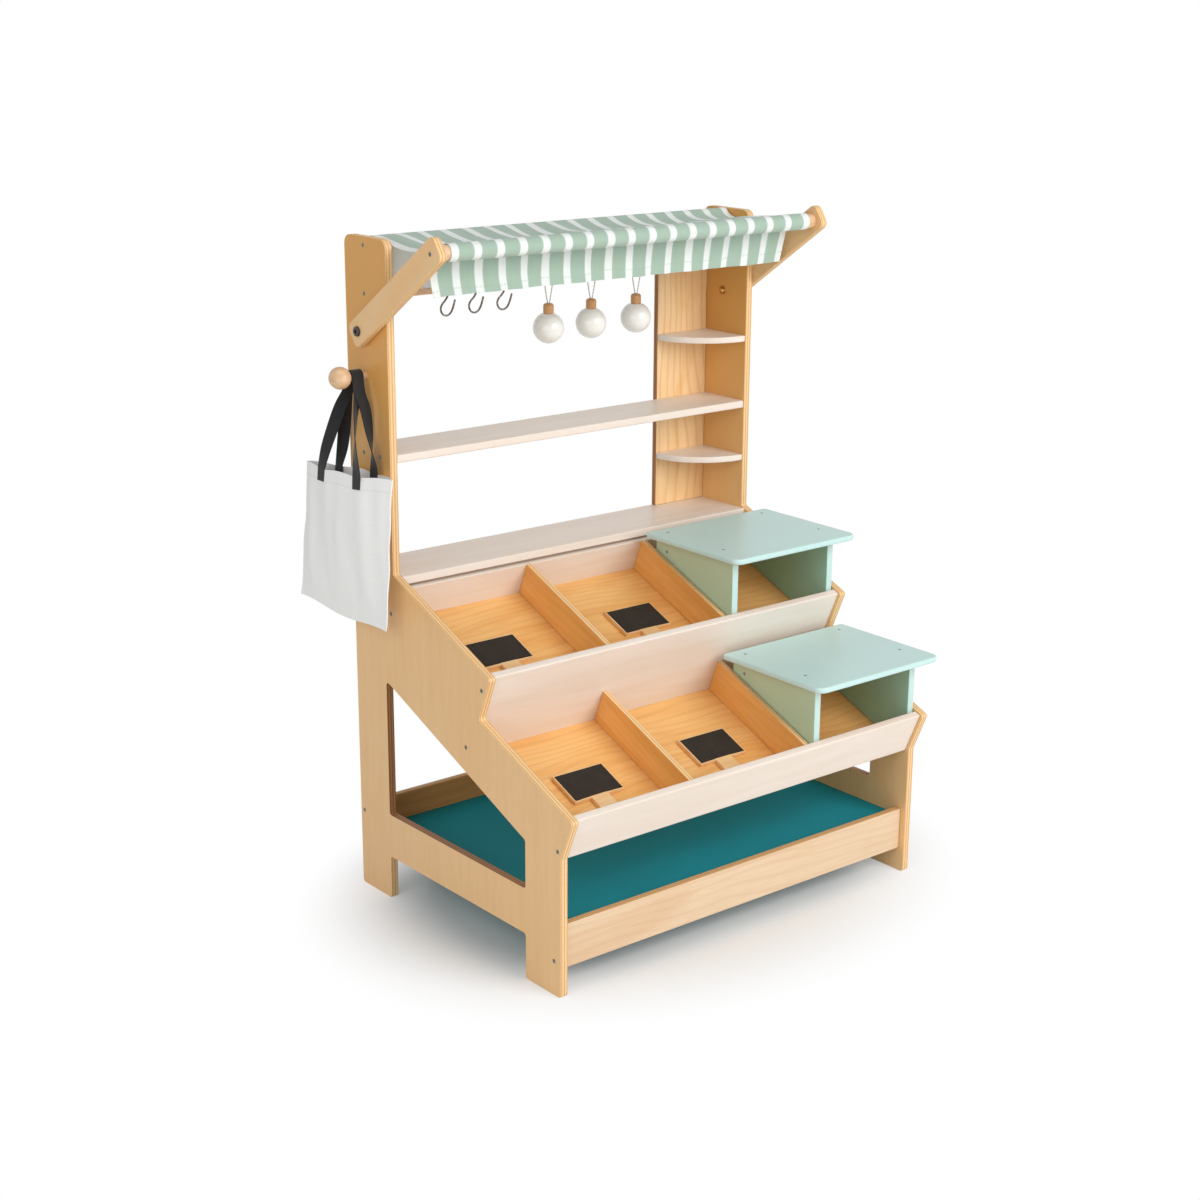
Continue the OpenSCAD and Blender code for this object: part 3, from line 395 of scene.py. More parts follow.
def cottonCanvas(look):
    material, tree, coords = startMaterial(look["name"])
    weave = plainWeave(tree, coords["UV"], look["threadMm"], 1.0)
    slubs = addNode(tree, "Mapping", {"Vector": coords["UV"], "Scale": grainScale(look["slubMm"])})
    slub = addNode(tree, "TexNoise", {"Vector": slubs, "Scale": 1.0, "Detail": 3.0})
    share = addNode(tree, "MapRange", {"Value": slub, "From Min": 0.42, "From Max": 0.74})
    tone = addNode(tree, "Mix", {0: share, 6: look["color"], 7: look["slub"]}, data_type="RGBA")
    color, height = sewRows(tree, coords["UV"], mouthSewing, tone.outputs[2], weave)
    threads = addNode(tree, "Bump", {"Height": height, "Strength": 0.06, "Distance": 0.0004})
    return coverWith(material, {"Base Color": color, "Roughness": 0.9, "Normal": threads, "IOR": 1.45,
                                "Sheen Weight": 0.2, "Sheen Roughness": 0.5})


# ribbed cotton: black herringbone webbing, and string of two plies wound at about 2 mm a turn
webbingLook = {"name": "cottonWebbing", "color": "#171718", "rib": "#262628", "ribMm": 1.6, "wander": 1.5,
               "map": "UV", "gloss": 0.85, "depth": 0.0004, "sheen": 0.3}
stringLook = {"name": "twistedCottonString", "color": "#DEDBD5", "rib": "#BDB9B2", "ribMm": 2.0,
              "wander": 0.8, "map": "Object", "gloss": 0.9, "depth": 0.0003, "sheen": 0.0}


def ribbedCotton(look):
    material, tree, coords = startMaterial(look["name"])
    wave = addNode(tree, "TexWave", {"Vector": coords[look["map"]], "Scale": waveScale(look["ribMm"]),
                                     "Distortion": look["wander"]}, bands_direction="DIAGONAL")
    rib = wave.outputs[1]
    tone = addNode(tree, "Mix", {0: rib, 6: look["color"], 7: look["rib"]}, data_type="RGBA")
    twill = addNode(tree, "Bump", {"Height": rib, "Strength": 0.4, "Distance": look["depth"]})
    return coverWith(material, {"Base Color": tone.outputs[2], "Roughness": look["gloss"], "Normal": twill,
                                "IOR": 1.45, "Sheen Weight": look["sheen"], "Sheen Roughness": 0.4})


panelWood, armWood, columnWood, paleWood = map(lacqueredWood, (birchPanel, birchArm, birchColumn, paleWash))
apronWood, rearShadedWood, signWood, floorWood = map(lacqueredWood, (apronBirch, rearBirchShaded, paleSign, honeyFloor))
dividerWood = lacqueredWood(honeyDivider)
dowelWood, capWood, knobWood = map(lacqueredWood, (turnedDowel, turnedCap, turnedKnob))
edgeAcross = sawnPlyEdge("sawnPlyEdge", 0, plyEdge)
# painted shade on the column's sawn edges, darker than the bare ply
edgeColumnShaded = sawnPlyEdge("shadedPlyEdgeColumn", 1, shadedSawnEdge)
edgeApron = sawnPlyEdge("sawnPlyEdgeApron", 1, tannedEdge)
edgeGapShaded = sawnPlyEdge("plyEdgeGapPaintedShade", 1, gapShadeEdge)
edgeWindowShaded = sawnPlyEdge("shadedPlyEdgeWindow", 0, shadedSawnEdge)
paintedAqua, shadedAquaLeft, shadedAquaRight = map(satinPaint, (aquaPaint, aquaSideShaded, aquaInsideShaded))
paintedTeal, paintedWhite = map(satinPaint, (tealPaint, whitePaint))
chalkboard = mattChalkboard(chalkPaint)
boltMetal, screwMetal, wireMetal, nutMetal = map(platedMetal, (blackSteel, zincSteel, nickelWire, brassNut))
bagCanvas = cottonCanvas(canvasLook)
strapWebbing, cordString = map(ribbedCotton, (webbingLook, stringLook))
printedCanopy = stripedCloth("stripedCottonCanopy", 1.0, noSewing)
printedValance = stripedCloth("stripedCottonValance", 1.0, valanceSewing)
clothReverse = stripedCloth("stripedCottonReverse", stripedCotton["reverse"], noSewing)
print("materials mixed")


# helpers for meshes
mergeRoom = 0.00001
flatDegrees = 0.4


def addPiece(name, bm, materials, smooth=False):
    mesh = bpy.data.meshes.new(name)
    bm.to_mesh(mesh)
    bm.free()
    for material in materials:
        mesh.materials.append(material)
    mesh.polygons.foreach_set("use_smooth", [smooth] * len(mesh.polygons))
    return addObject(name, mesh)


def standFor(obj, *names):
    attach(obj, nodes[names[0]]["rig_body"])
    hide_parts(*names)
    return obj


def mergedCopy(nodeName, joinFlat=True):
    bm = bmesh.new()
    bm.from_mesh(nodes[nodeName].data)
    bmesh.ops.remove_doubles(bm, verts=bm.verts, dist=mergeRoom)
    if joinFlat:
        bmesh.ops.dissolve_limit(bm, angle_limit=math.radians(flatDegrees), verts=bm.verts, edges=bm.edges)
    return bm


def middleOf(nodeName):
    low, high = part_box(nodeName)
    return (low + high) / 2


def pieceName(nodeName):
    first, *rest = nodeName.split("_")
    return first + "".join(word.title() for word in rest)


def spinOutline(bm, points, centre, axis, steps):
    profile = [bm.verts.new(point) for point in points]
    edges = [bm.edges.new(pair) for pair in zip(profile, profile[1:])]
    bmesh.ops.spin(bm, geom=profile + edges, cent=centre, axis=axis, angle=math.tau, steps=steps,
                   use_merge=True)


def closeSpun(bm):
    bmesh.ops.remove_doubles(bm, verts=bm.verts, dist=2 * mergeRoom)
    bmesh.ops.recalc_face_normals(bm, faces=bm.faces)


def crispRims(bm):
    for edge in bm.edges:
        edge.smooth = not edge.is_boundary


def layFlat(bm, flatMap, spots):
    for face in bm.faces:
        for loop in face.loops:
            loop[flatMap].uv = spots[loop.vert]


def thicken(obj, name, thickness, offset=0.0, lining=0):
    wall = obj.modifiers.new(name, "SOLIDIFY")
    wall.thickness = thickness
    wall.offset = offset
    wall.material_offset = lining
    wall.use_rim = True


def runLengths(points):
    lengths = [0.0]
    for a, b in zip(points, points[1:]):
        lengths.append(lengths[-1] + (b - a).length)
    return lengths


def smoothLine(points, steps):
    # runs a smooth curve through the points
    line = []
    last = len(points) - 1
    for i in range(last):
        a, b, c, d = (points[min(max(k, 0), last)] for k in (i - 1, i, i + 1, i + 2))
        for k in range(steps):
            t = k / steps
            line.append(0.5 * (2 * b + (c - a) * t + (2 * a - 5 * b + 4 * c - d) * t ** 2
                               + (3 * b - a - 3 * c + d) * t ** 3))
    return line + [points[last]]


# lamp cords: one loop from the cap over the hanging rail and back, as forward and up from the rail in mm
lampCord = {
    "diameter": 0.0016,
    "length": 0.125,
    "half": ((2, -42), (4, -36), (6, -28), (8, -20), (10, -11), (11.6, -4), (12, 1), (11, 5.5), (8.5, 9),
             (4.6, 11.4)),
    "crown": 12,
    "smooth": 4,
}
lampPlaces = ("left", "middle", "right")
railMiddle = middleOf("hanging_rail")


def hangCord(place):
    centre = Vector((middleOf("lamp_ball_" + place).x, railMiddle.y, railMiddle.z))
    half = [Vector((0, -forward, up)) / 1000 for forward, up in lampCord["half"]]
    crown = Vector((0, 0, lampCord["crown"])) / 1000
    back = [Vector((0, -p.y, p.z)) for p in reversed(half)]
    line = smoothLine([centre + p for p in half + [crown] + back], lampCord["smooth"])
    curve = bpy.data.curves.new("lampCord." + place, "CURVE")
    curve.dimensions = "3D"
    curve.bevel_depth = lampCord["diameter"] / 2
    curve.bevel_resolution = 3
    spline = curve.splines.new("POLY")
    spline.points.add(len(line) - 1)
    for point, spot in zip(spline.points, line):
        point.co = (*spot, 1.0)
    curve.materials.append(cordString)
    obj = standFor(addObject("lampCord." + place, curve), "lamp_cord_" + place)


for place in lampPlaces:
    hangCord(place)
print("lamp cords hung")


# places of the screws, bolts and the peg in the side panels, found on their CAD nodes
def fastenerSpots(nodeName, room=0.016):
    spots = []
    for vertex in nodes[nodeName].data.vertices:
        here = vertex.co.yz
        for spot in spots:
            if (spot["first"] - here).length < room:
                spot["low"] = Vector(map(min, spot["low"], here))
                spot["high"] = Vector(map(max, spot["high"], here))
                break
        else:
            spots.append({"first": here, "low": here.copy(), "high": here.copy()})
    return [(spot["low"] + spot["high"]) / 2 for spot in spots]


screwSpots = fastenerSpots("panel_screws")
boltSpots = fastenerSpots("arm_pivot_bolts")
armScrewSpots = fastenerSpots("arm_screws")
boreSpots = screwSpots + boltSpots + armScrewSpots + fastenerSpots("bag_peg")
print("fasteners found:", len(screwSpots), "screws a side")

# boards: copies of the CAD boards with eased edges and, on plywood, sawn edges that show their plies, as
# face, edge, axis of the thickness and radius of the edges
boardEase = {"segments": 2, "boreRoom": 0.0085, "boreEdge": 0.0022, "sharpDegrees": 40}
boards = {
    "column_back": (columnWood, edgeColumnShaded, 1, 0.0013),
    "ledge_board": (paleWood, None, 2, 0.0010),
    "long_shelf": (paleWood, None, 2, 0.0020),
    "upper_back_board": (paleWood, None, 2, 0.0008),
    "mid_board": (paleWood, None, 2, 0.0020),
    "lower_front_board": (paleWood, None, 2, 0.0020),
    "front_apron": (apronWood, edgeApron, 1, 0.0018),
    "rear_apron": (rearShadedWood, edgeApron, 1, 0.0018),
    "base_shelf": (paintedTeal, None, 2, 0.0012),
}
for which in ("upper", "lower"):
    boards[which + "_corner_shelf"] = (paleWood, None, 2, 0.0018)
    boards[which + "_tray_floor"] = (floorWood, None, 2, 0.0006)
    boards[which + "_box_top"] = (paintedAqua, None, 2, 0.0024)
    boards[which + "_box_left_side"] = (shadedAquaLeft, paintedAqua, 0, 0.0014)
    boards[which + "_box_right_side"] = (shadedAquaRight, paintedAqua, 0, 0.0014)
    boards[which + "_box_rear_rail"] = (shadedAquaLeft, None, 1, 0.0014)
for side in ("left", "right"):
    boards[side + "_side_panel"] = (panelWood, edgeAcross, 0, 0.0016)
    boards[side + "_awning_arm"] = (armWood, edgeAcross, 0, 0.0016)
    boards["upper_divider_" + side] = (dividerWood, edgeAcross, 0, 0.0016)
    boards["lower_divider_" + side] = (dividerWood, edgeAcross, 0, 0.0016)

# directions of the trays: up their floors, and out of them
trayTilt = math.radians(22.5)
uphill = Vector((0, math.cos(trayTilt), math.sin(trayTilt)))
upward = Vector((0, -math.sin(trayTilt), math.cos(trayTilt)))


def easeEdges(bm):
    weight = bm.edges.layers.float.new("bevel_weight_edge")
    sharp = math.radians(boardEase["sharpDegrees"])
    for edge in bm.edges:
        if len(edge.link_faces) != 2 or edge.calc_face_angle() < sharp:
            continue
        middle = ((edge.verts[0].co + edge.verts[1].co) / 2).yz
        inBore = any((middle - spot).length < boardEase["boreRoom"] for spot in boreSpots)
        if not inBore or edge.calc_length() > boardEase["boreEdge"]:
            edge[weight] = 1.0


def roundOff(obj, radius):
    ease = obj.modifiers.new("easedEdges", "BEVEL")
    ease.limit_method = "WEIGHT"
    ease.width = radius
    ease.segments = boardEase["segments"]
    ease.profile = 0.5
    even = obj.modifiers.new("evenShading", "WEIGHTED_NORMAL")
    even.keep_sharp = True


# window in the side panels: its limits, and the height of its sloping top over the middle of the stall
panelWindow = {"rear": 0.2075, "front": -0.2075, "low": 0.130, "high": 0.44, "slopeAt": 0.30}


# faces inside the window, which take the darker sawn edge with painted shade
def inWindow(face):
    middle = face.calc_center_median()
    if abs(face.normal.x) > 0.5 or not panelWindow["front"] < middle.y < panelWindow["rear"]:
        return False
    top = min(panelWindow["high"], panelWindow["slopeAt"] + math.tan(trayTilt) * middle.y)
    return panelWindow["low"] < middle.z < top


# sides of the display boxes: the rear end reaches under the rear edge of the top, and its foot climbs with
# the tray floor
boxSide = {"longer": 0.0120, "endRoom": 0.006, "topRoom": 0.012}


def lengthenSide(bm):
    rear = max(v.co.y for v in bm.verts)
    top = max(v.co.z for v in bm.verts)
    climb = boxSide["longer"] * math.tan(trayTilt)
    for vert in bm.verts:
        if vert.co.y > rear - boxSide["endRoom"]:
            vert.co.y += boxSide["longer"]
            if vert.co.z < top - boxSide["topRoom"]:
                vert.co.z += climb


# gap under the ledge: a groove along the board's top edge, between a rear lip and a front lip, whose faces
# are painted dark as shade so that it reads as a dark line
shadowGap = {"node": "upper_back_board", "depth": 0.0044, "rear": 0.0013, "front": 0.0058, "wall": 0.0003,
             "reach": 0.010, "slack": 0.0006, "inside": (0.0004, 0.006)}


def rearCorner(bm):
    return max((v.co for v in bm.verts), key=lambda place: place.dot(uphill) + place.dot(upward)).copy()


def openGap(bm):
    corner = rearCorner(bm)
    near, far, wall = shadowGap["rear"], shadowGap["front"], shadowGap["wall"]
    for inset in (near, near + wall, far - wall, far):
        everything = bm.verts[:] + bm.edges[:] + bm.faces[:]
        bmesh.ops.bisect_plane(bm, geom=everything, plane_co=corner - uphill * inset, plane_no=uphill)
    for vert in bm.verts:
        place = vert.co - corner
        within = near + wall * 2 / 3 < -place.dot(uphill) < far - wall * 2 / 3
        if within and -place.dot(upward) < shadowGap["reach"]:
            vert.co -= upward * shadowGap["depth"]


def inGap(face, corner):
    place = face.calc_center_median() - corner
    low, high = shadowGap["inside"]
    slack = shadowGap["slack"]
    within = shadowGap["rear"] - slack < -place.dot(uphill) < shadowGap["front"] + slack
    return within and low < -place.dot(upward) < high


def dressBoard(nodeName, face, edge, thinAxis, radius):
    bm = mergedCopy(nodeName)
    if nodeName.endswith(("_box_left_side", "_box_right_side")):
        lengthenSide(bm)
    finishes = []
    if edge:
        finishes.append((edge, lambda part: abs(part.normal[thinAxis]) < 0.5))
    if nodeName == shadowGap["node"]:
        openGap(bm)
        corner = rearCorner(bm)
        # painted shade: the groove's faces take the dark gap edge
        finishes.append((edgeGapShaded, lambda part: inGap(part, corner)))
    if nodeName.endswith("_box_top"):
        # the underside is taken as bare lacquered birch, since the light inside the boxes is warm
        finishes.append((dividerWood, lambda part: part.normal.z < -0.9))
    if nodeName.endswith("_side_panel"):
        finishes.append((edgeWindowShaded, inWindow))
    easeEdges(bm)
    for index, (material, covers) in enumerate(finishes, 1):
        for part in bm.faces:
            if covers(part):
                part.material_index = index
    obj = addPiece(pieceName(nodeName), bm, [face] + [material for material, covers in finishes], smooth=True)
    roundOff(obj, radius)
    standFor(obj, nodeName)


for nodeName, finish in boards.items():
    dressBoard(nodeName, *finish)
print("boards dressed:", len(boards))

# price signs: a stake and a plate from one board, with a chalkboard face a little smaller than the plate
priceSign = {"nodes": ("upper_left_sign", "upper_middle_sign", "lower_left_sign", "lower_middle_sign"),
             "plate": 0.057, "border": 0.0024, "radius": 0.0007}


def dressSign(nodeName):
    bm = mergedCopy(nodeName)
    top = max(bm.verts, key=lambda v: v.co.dot(uphill)).co
    bmesh.ops.bisect_plane(bm, geom=bm.verts[:] + bm.edges[:] + bm.faces[:], dist=mergeRoom,
                           plane_co=top - uphill * priceSign["plate"], plane_no=uphill)
    easeEdges(bm)
    faces = [f for f in bm.faces if f.normal.dot(upward) > 0.9]
    plate = max(faces, key=lambda f: f.calc_center_median().dot(uphill))
    bmesh.ops.inset_individual(bm, faces=[plate], thickness=priceSign["border"], depth=0.0)
    plate.material_index = 1
    obj = addPiece(pieceName(nodeName), bm, [signWood, chalkboard], smooth=True)
    roundOff(obj, priceSign["radius"])
    standFor(obj, nodeName)


for nodeName in priceSign["nodes"]:
    dressSign(nodeName)
print("price signs dressed")

# dowels, rail, peg and knob keep their CAD shape
turnedNodes = {"awning_rear_dowel": dowelWood, "hanging_rail": dowelWood, "awning_front_dowel": dowelWood,
               "bag_peg": dowelWood, "bag_peg_knob": knobWood}
for nodeName, material in turnedNodes.items():
    nodes[nodeName].data.materials.clear()
    nodes[nodeName].data.materials.append(material)

# hooks: bent wire, smooth round its bends and crisp at its cut ends
for place in lampPlaces:
    bent = mergedCopy("hook_" + place, joinFlat=False)
    hook = addPiece("wireHook." + place, bent, [wireMetal], smooth=True)
    hook.data.set_sharp_from_angle(angle=math.radians(50))
    standFor(hook, "hook_" + place)

# screw and bolt heads with a hexagon socket
panelScrew = {"radius": 0.0035, "height": 0.0016, "socket": 0.0017, "deep": 0.0011, "sunk": 0.0002}
pivotBolt = {"radius": 0.0075, "height": 0.0030, "socket": 0.0030, "deep": 0.0018, "sunk": 0.0}
boxScrew = {"radius": 0.0026, "height": 0.0010, "socket": 0.0011, "deep": 0.0006, "sunk": -0.0001}
headShape = {"segments": 24, "taper": 0.9, "hexagon": 0.866, "socketDraft": 0.00005}


def addHead(bm, size, face, outward):
    turn = outward.to_track_quat("Z", "Y").to_matrix().to_4x4()
    middle = face - outward * (size["sunk"] + size["height"] / 2)
    topRadius = size["radius"] * headShape["taper"]
    made = bmesh.ops.create_cone(bm, cap_ends=True, segments=headShape["segments"], radius1=size["radius"],
                                 radius2=topRadius, depth=size["height"],
                                 matrix=Matrix.Translation(middle) @ turn)
    cap = {f for v in made["verts"] for f in v.link_faces if f.normal.dot(outward) > 0.9}.pop()
    bmesh.ops.inset_individual(bm, faces=[cap], thickness=topRadius - size["socket"], depth=0.0)
    centre = cap.calc_center_median()
    for vert in cap.verts:
        arm = turn.to_3x3().inverted() @ (vert.co - centre)
        part = math.atan2(arm.y, arm.x) % (math.pi / 3) - math.pi / 6
        vert.co = centre + (vert.co - centre) * (headShape["hexagon"] / math.cos(part))
    bmesh.ops.inset_individual(bm, faces=[cap], thickness=headShape["socketDraft"], depth=-size["deep"])


def addHeads(name, size, material, spots):
    bm = bmesh.new()
    for face, outward in spots:
        addHead(bm, size, face, outward)
    bmesh.ops.recalc_face_normals(bm, faces=bm.faces)
    return addPiece(name, bm, [material])


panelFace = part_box("right_side_panel")[1].x
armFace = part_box("right_awning_arm")[1].x
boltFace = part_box("arm_pivot_bolts")[1].x
for name, nodeName, size, material, found, distance in (
        ("panelScrewHeads", "panel_screws", panelScrew, screwMetal, screwSpots, panelFace),
        ("armScrewHeads", "arm_screws", panelScrew, screwMetal, armScrewSpots, armFace),
        ("armPivotBolts", "arm_pivot_bolts", pivotBolt, boltMetal, boltSpots, boltFace)):
    spots = [(Vector((side * distance, *spot)), Vector((side, 0, 0))) for spot in found for side in (-1, 1)]
    standFor(addHeads(name, size, material, spots), nodeName)

# domed nuts on the inner faces of the posts, as distance from the axis and height over the post
domedNut = {"outline": ((0, 0.0050), (0.00312, 0.0047), (0.0052, 0.0031), (0.0052, 0.0014), (0.0072, 0.0014),
                        (0.0075, 0.0006), (0.0075, 0.0)), "panel": 0.012, "steps": 28}


def domedNuts():
    bm = bmesh.new()
    for spot in boltSpots:
        for side in (-1, 1):
            centre = Vector((side * (panelFace - domedNut["panel"]), *spot))
            points = [centre + Vector((-side * up, 0, out)) for out, up in domedNut["outline"]]
            spinOutline(bm, points, centre, (1, 0, 0), domedNut["steps"])
    closeSpun(bm)
    standFor(addPiece("armNuts", bm, [nutMetal]), "arm_nuts")


domedNuts()

# four small screws in each display box top, and one in its left side
boxScrewPlaces = {"sides": 0.027, "rear": 0.022, "front": 0.059, "side": (0.0135, 0.020)}
for which in ("upper", "lower"):
    low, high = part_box(which + "_box_top")
    spots = [(Vector((x, y, high.z)), Vector((0, 0, 1)))
             for x in (low.x + boxScrewPlaces["sides"], high.x - boxScrewPlaces["sides"])
             for y in (low.y + boxScrewPlaces["front"], high.y - boxScrewPlaces["rear"])]
    low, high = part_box(which + "_box_left_side")
    fromRear, fromTop = boxScrewPlaces["side"]
    spots.append((Vector((low.x, high.y - fromRear, high.z - fromTop)), Vector((-1, 0, 0))))
    heads = addHeads(which + "BoxScrews", boxScrew, boltMetal, spots)
    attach(heads, which + "_box")
print("screws, bolts and nuts set")

# lamps: turned white balls and caps with rounded shoulders
lampShape = {"arcSteps": 28, "ballSteps": 56, "capSteps": 40, "capShoulder": 0.0042, "capCollar": 0.0009,
             "sharpDegrees": 35}


def turnOnLathe(name, nodeName, outline, centre, material, steps):
    bm = bmesh.new()
    spinOutline(bm, [centre + Vector((out, 0, up)) for out, up in outline], centre, (0, 0, 1), steps)
    closeSpun(bm)
    obj = addPiece(name, bm, [material], smooth=True)
    obj.data.set_sharp_from_angle(angle=math.radians(lampShape["sharpDegrees"]))
    standFor(obj, nodeName)


def turnBall(place):
    low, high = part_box("lamp_ball_" + place)
    radius = (high.x - low.x) / 2
    flat = high.z - low.z - radius
    start = math.asin(flat / radius)
    steps = lampShape["arcSteps"]
    arc = [start + (-math.pi / 2 - start) * k / steps for k in range(steps + 1)]
    outline = [(0, flat)] + [(radius * math.cos(a), radius * math.sin(a)) for a in arc]
    centre = Vector(((low.x + high.x) / 2, (low.y + high.y) / 2, low.z + radius))
    turnOnLathe("lampBall." + place, "lamp_ball_" + place, outline, centre, paintedWhite,
                lampShape["ballSteps"])


def turnCap(place):
    low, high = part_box("lamp_cap_" + place)
    wide = (high.x - low.x) / 2
    tall = high.z - low.z
    ease, collar = lampShape["capShoulder"], lampShape["capCollar"]
    shoulder = [(wide - ease * (1 - math.cos(a)), tall - ease * (1 - math.sin(a)))
                for a in (math.radians(15 * k) for k in range(7))]
    outline = [(0, 0), (wide - collar, 0), (wide, collar)] + shoulder + [(0, tall)]
    base = Vector(((low.x + high.x) / 2, (low.y + high.y) / 2, low.z))
    turnOnLathe("lampCap." + place, "lamp_cap_" + place, outline, base, capWood, lampShape["capSteps"])


for place in lampPlaces:
    turnBall(place)
    turnCap(place)
print("lamps turned")

# awning cloth: one sheet from the rear tail, round both dowels, to the seam behind the front one; pairs run
# from its left end to its right end, and folds are height, spacing and start in degrees
valanceLow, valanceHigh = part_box("awning_valance")
awningCloth = {
    "left": valanceLow.x,
    "right": valanceHigh.x,
    "thickness": 0.0010,
    "sleeve": 0.0119,
    "rearSeam": 0.043,
    "frontSeam": 0.035,
    "leaves": (80, 44),
    "meets": -62,
    "frontTurn": (120, -96, -9),
    "sag": (0.0135, 0.0115),
    "deepest": (0.55, 0.24),
    "sharpness": 2.8,
    "tail": valanceLow.z + 0.0002,
    "hem": (valanceLow.z + 0.0045, valanceLow.z + 0.0018),
    "tailFold": ((0, -0.0015), (0.0003, -0.0004), (0.0012, 0.0), (0.0022, -0.0005)),
    "lap": 0.0011,
    "valanceUnder": (0.0010, 0.0020),
    "lean": (0.0, -0.016),
    "belly": 0.007,
    "ripple": 0.0006,
    "folds": ((0.0026, 0.137, 130), (0.0014, 0.091, 90)),
    "hemFolds": ((0.0022, 0.118, 25), (0.0012, 0.053, 0), (0.0005, 0.027, 60)),
    "creases": 0.0009,
    "columns": 180,
    "rows": {"tail": 14, "lap": 8, "rearTurn": 24, "span": 40, "frontLap": 9, "valance": 26},
}
rearDowel = middleOf("awning_rear_dowel").yz
frontDowel = middleOf("awning_front_dowel").yz
frontSeam = frontDowel.x + awningCloth["frontSeam"]


def foldAt(waves, x):
    fromLeft = x + panelFace
    return sum(high * math.sin(math.tau * fromLeft / spacing + math.radians(start))
               for high, spacing, start in waves)


def onSleeve(middle, degrees):
    angle = math.radians(degrees)
    return middle + awningCloth["sleeve"] * Vector((-math.cos(angle), math.sin(angle)))


spanEnd = onSleeve(frontDowel, awningCloth["frontTurn"][0])


def fromLeftEnd(x):
    return (x - awningCloth["left"]) / (awningCloth["right"] - awningCloth["left"])


def between(key, x):
    first, last = awningCloth[key]
    return first + (last - first) * fromLeftEnd(x)


def spanPoint(x, t):
    t = min(max(t, 0.0), 1.0)
    start = onSleeve(rearDowel, between("leaves", x))
    deep = between("deepest", x)
    power = awningCloth["sharpness"]
    shape = (t / deep) ** (power * deep) * ((1 - t) / (1 - deep)) ** (power * (1 - deep))
    fold = foldAt(awningCloth["folds"], x) * math.sin(math.pi * t)
    crease = awningCloth["creases"] * noise.noise(Vector((x * 26, t * 5, 3.1))) * math.sin(math.pi * t)
    return start.lerp(spanEnd, t) + Vector((0, crease - fold - between("sag", x) * shape))


def spanAt(x, y):
    start = onSleeve(rearDowel, between("leaves", x))
    return spanPoint(x, (start.x - y) / (start.x - spanEnd.x))


def sweepLine(first, last, steps):
    return [first.lerp(last, k / steps) for k in range(steps)]


def canopyLine(x):
    rows = awningCloth["rows"]
    rearSeam = rearDowel.x - awningCloth["rearSeam"]
    under = Vector((0, -awningCloth["lap"]))
    top = spanAt(x, rearSeam) + under
    hem = Vector((rearSeam - foldAt(awningCloth["hemFolds"], x), awningCloth["tail"]))
    end = spanAt(x, frontSeam) + under
    # the tail rises to its seam, turns over there and runs on to the rear sleeve
    *fold, lap = (top + Vector(step) for step in awningCloth["tailFold"])
    meets = awningCloth["meets"]
    turn = between("leaves", x) - 360 - meets
    line = sweepLine(hem, fold[0], rows["tail"]) + fold
    line += sweepLine(lap, onSleeve(rearDowel, meets), rows["lap"])
    line += [onSleeve(rearDowel, meets + turn * k / rows["rearTurn"]) for k in range(rows["rearTurn"])]
    line += [spanPoint(x, k / rows["span"]) for k in range(rows["span"])]
    line += [onSleeve(frontDowel, a) for a in range(*awningCloth["frontTurn"])]
    last = onSleeve(frontDowel, awningCloth["frontTurn"][1])
    return line + sweepLine(last, end, rows["frontLap"])[1:] + [end]


def valanceLine(x):
    top = spanAt(x, frontSeam) - Vector(awningCloth["valanceUnder"])
    rows = awningCloth["rows"]["valance"]
    lean = between("lean", x) + foldAt(awningCloth["hemFolds"], x)
    belly = 4 * awningCloth["belly"] * (1 - fromLeftEnd(x))
    drop = top.y - between("hem", x) + awningCloth["ripple"] * noise.noise(Vector((x * 11, 7.7, 0.3)))
    steps = (k / rows for k in range(rows + 1))
    return [Vector((top.x - t * lean + t * (1 - t) * belly, top.y - drop * t)) for t in steps]


def clothSheet(name, lineAt, materials):
    columns = awningCloth["columns"]
    rows = len(lineAt(0.0)) - 1
    bm = bmesh.new()
    flatMap = bm.loops.layers.uv.new("clothMap")
    bmesh.ops.create_grid(bm, x_segments=columns, y_segments=rows, size=0.5)
    width = awningCloth["right"] - awningCloth["left"]
    lines = []
    for k in range(columns + 1):
        x = awningCloth["left"] + width * k / columns
        line = lineAt(x)
        lines.append((x, line, runLengths(line)))
    spots = {}
    for vert in bm.verts:
        column, row = round((vert.co.x + 0.5) * columns), round((vert.co.y + 0.5) * rows)
        x, line, lengths = lines[column]
        spots[vert] = (x, lengths[row])
        vert.co = (x, line[row].x, line[row].y)
    layFlat(bm, flatMap, spots)
    bmesh.ops.reverse_faces(bm, faces=bm.faces)
    crispRims(bm)
    obj = addPiece(name, bm, materials, smooth=True)
    thicken(obj, "clothThickness", awningCloth["thickness"], lining=1)
    return obj, lines[columns // 2][2][-1]


canopy, canopyLength = clothSheet("awningCanopy", canopyLine, [printedCanopy, clothReverse])
valance, valanceLength = clothSheet("awningValance", valanceLine, [printedValance, clothReverse])
print("awning cloth cut, lengths", round(canopyLength, 4), round(valanceLength, 4))
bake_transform(canopy)
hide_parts("awning_canopy")
standFor(valance, "awning_valance")
print("awning cloth hung")

# bag: a sewn canvas pouch that hangs open at the mouth, bare of any print; pairs run from mouth to bottom
shopBag = {
    "width": 0.226,
    "height": 0.2165,
    "drop": 0.1355,
    "mouth": 0.0185,
    "seam": 0.0010,
    "bottom": 0.0007,
    "hemLevels": (0.97, 0.985),
    "foldLevel": 0.999,
    "joinRoom": 0.0016,
    "wall": 0.0010,
    "toRear": (0.0110, 0.0220),
    "outward": (0.0072, 0.0175),
    "slopes": (3.2, -0.7),
    "around": 96,
    "rows": 34,
    "creases": 0.0066,
    "wavyEdge": 0.0046,
    "dip": 0.003,
    "droop": 0.003,
}
pegMiddle = middleOf("bag_peg")
bagPlace = Vector((middleOf("bag").x, pegMiddle.y, pegMiddle.z))


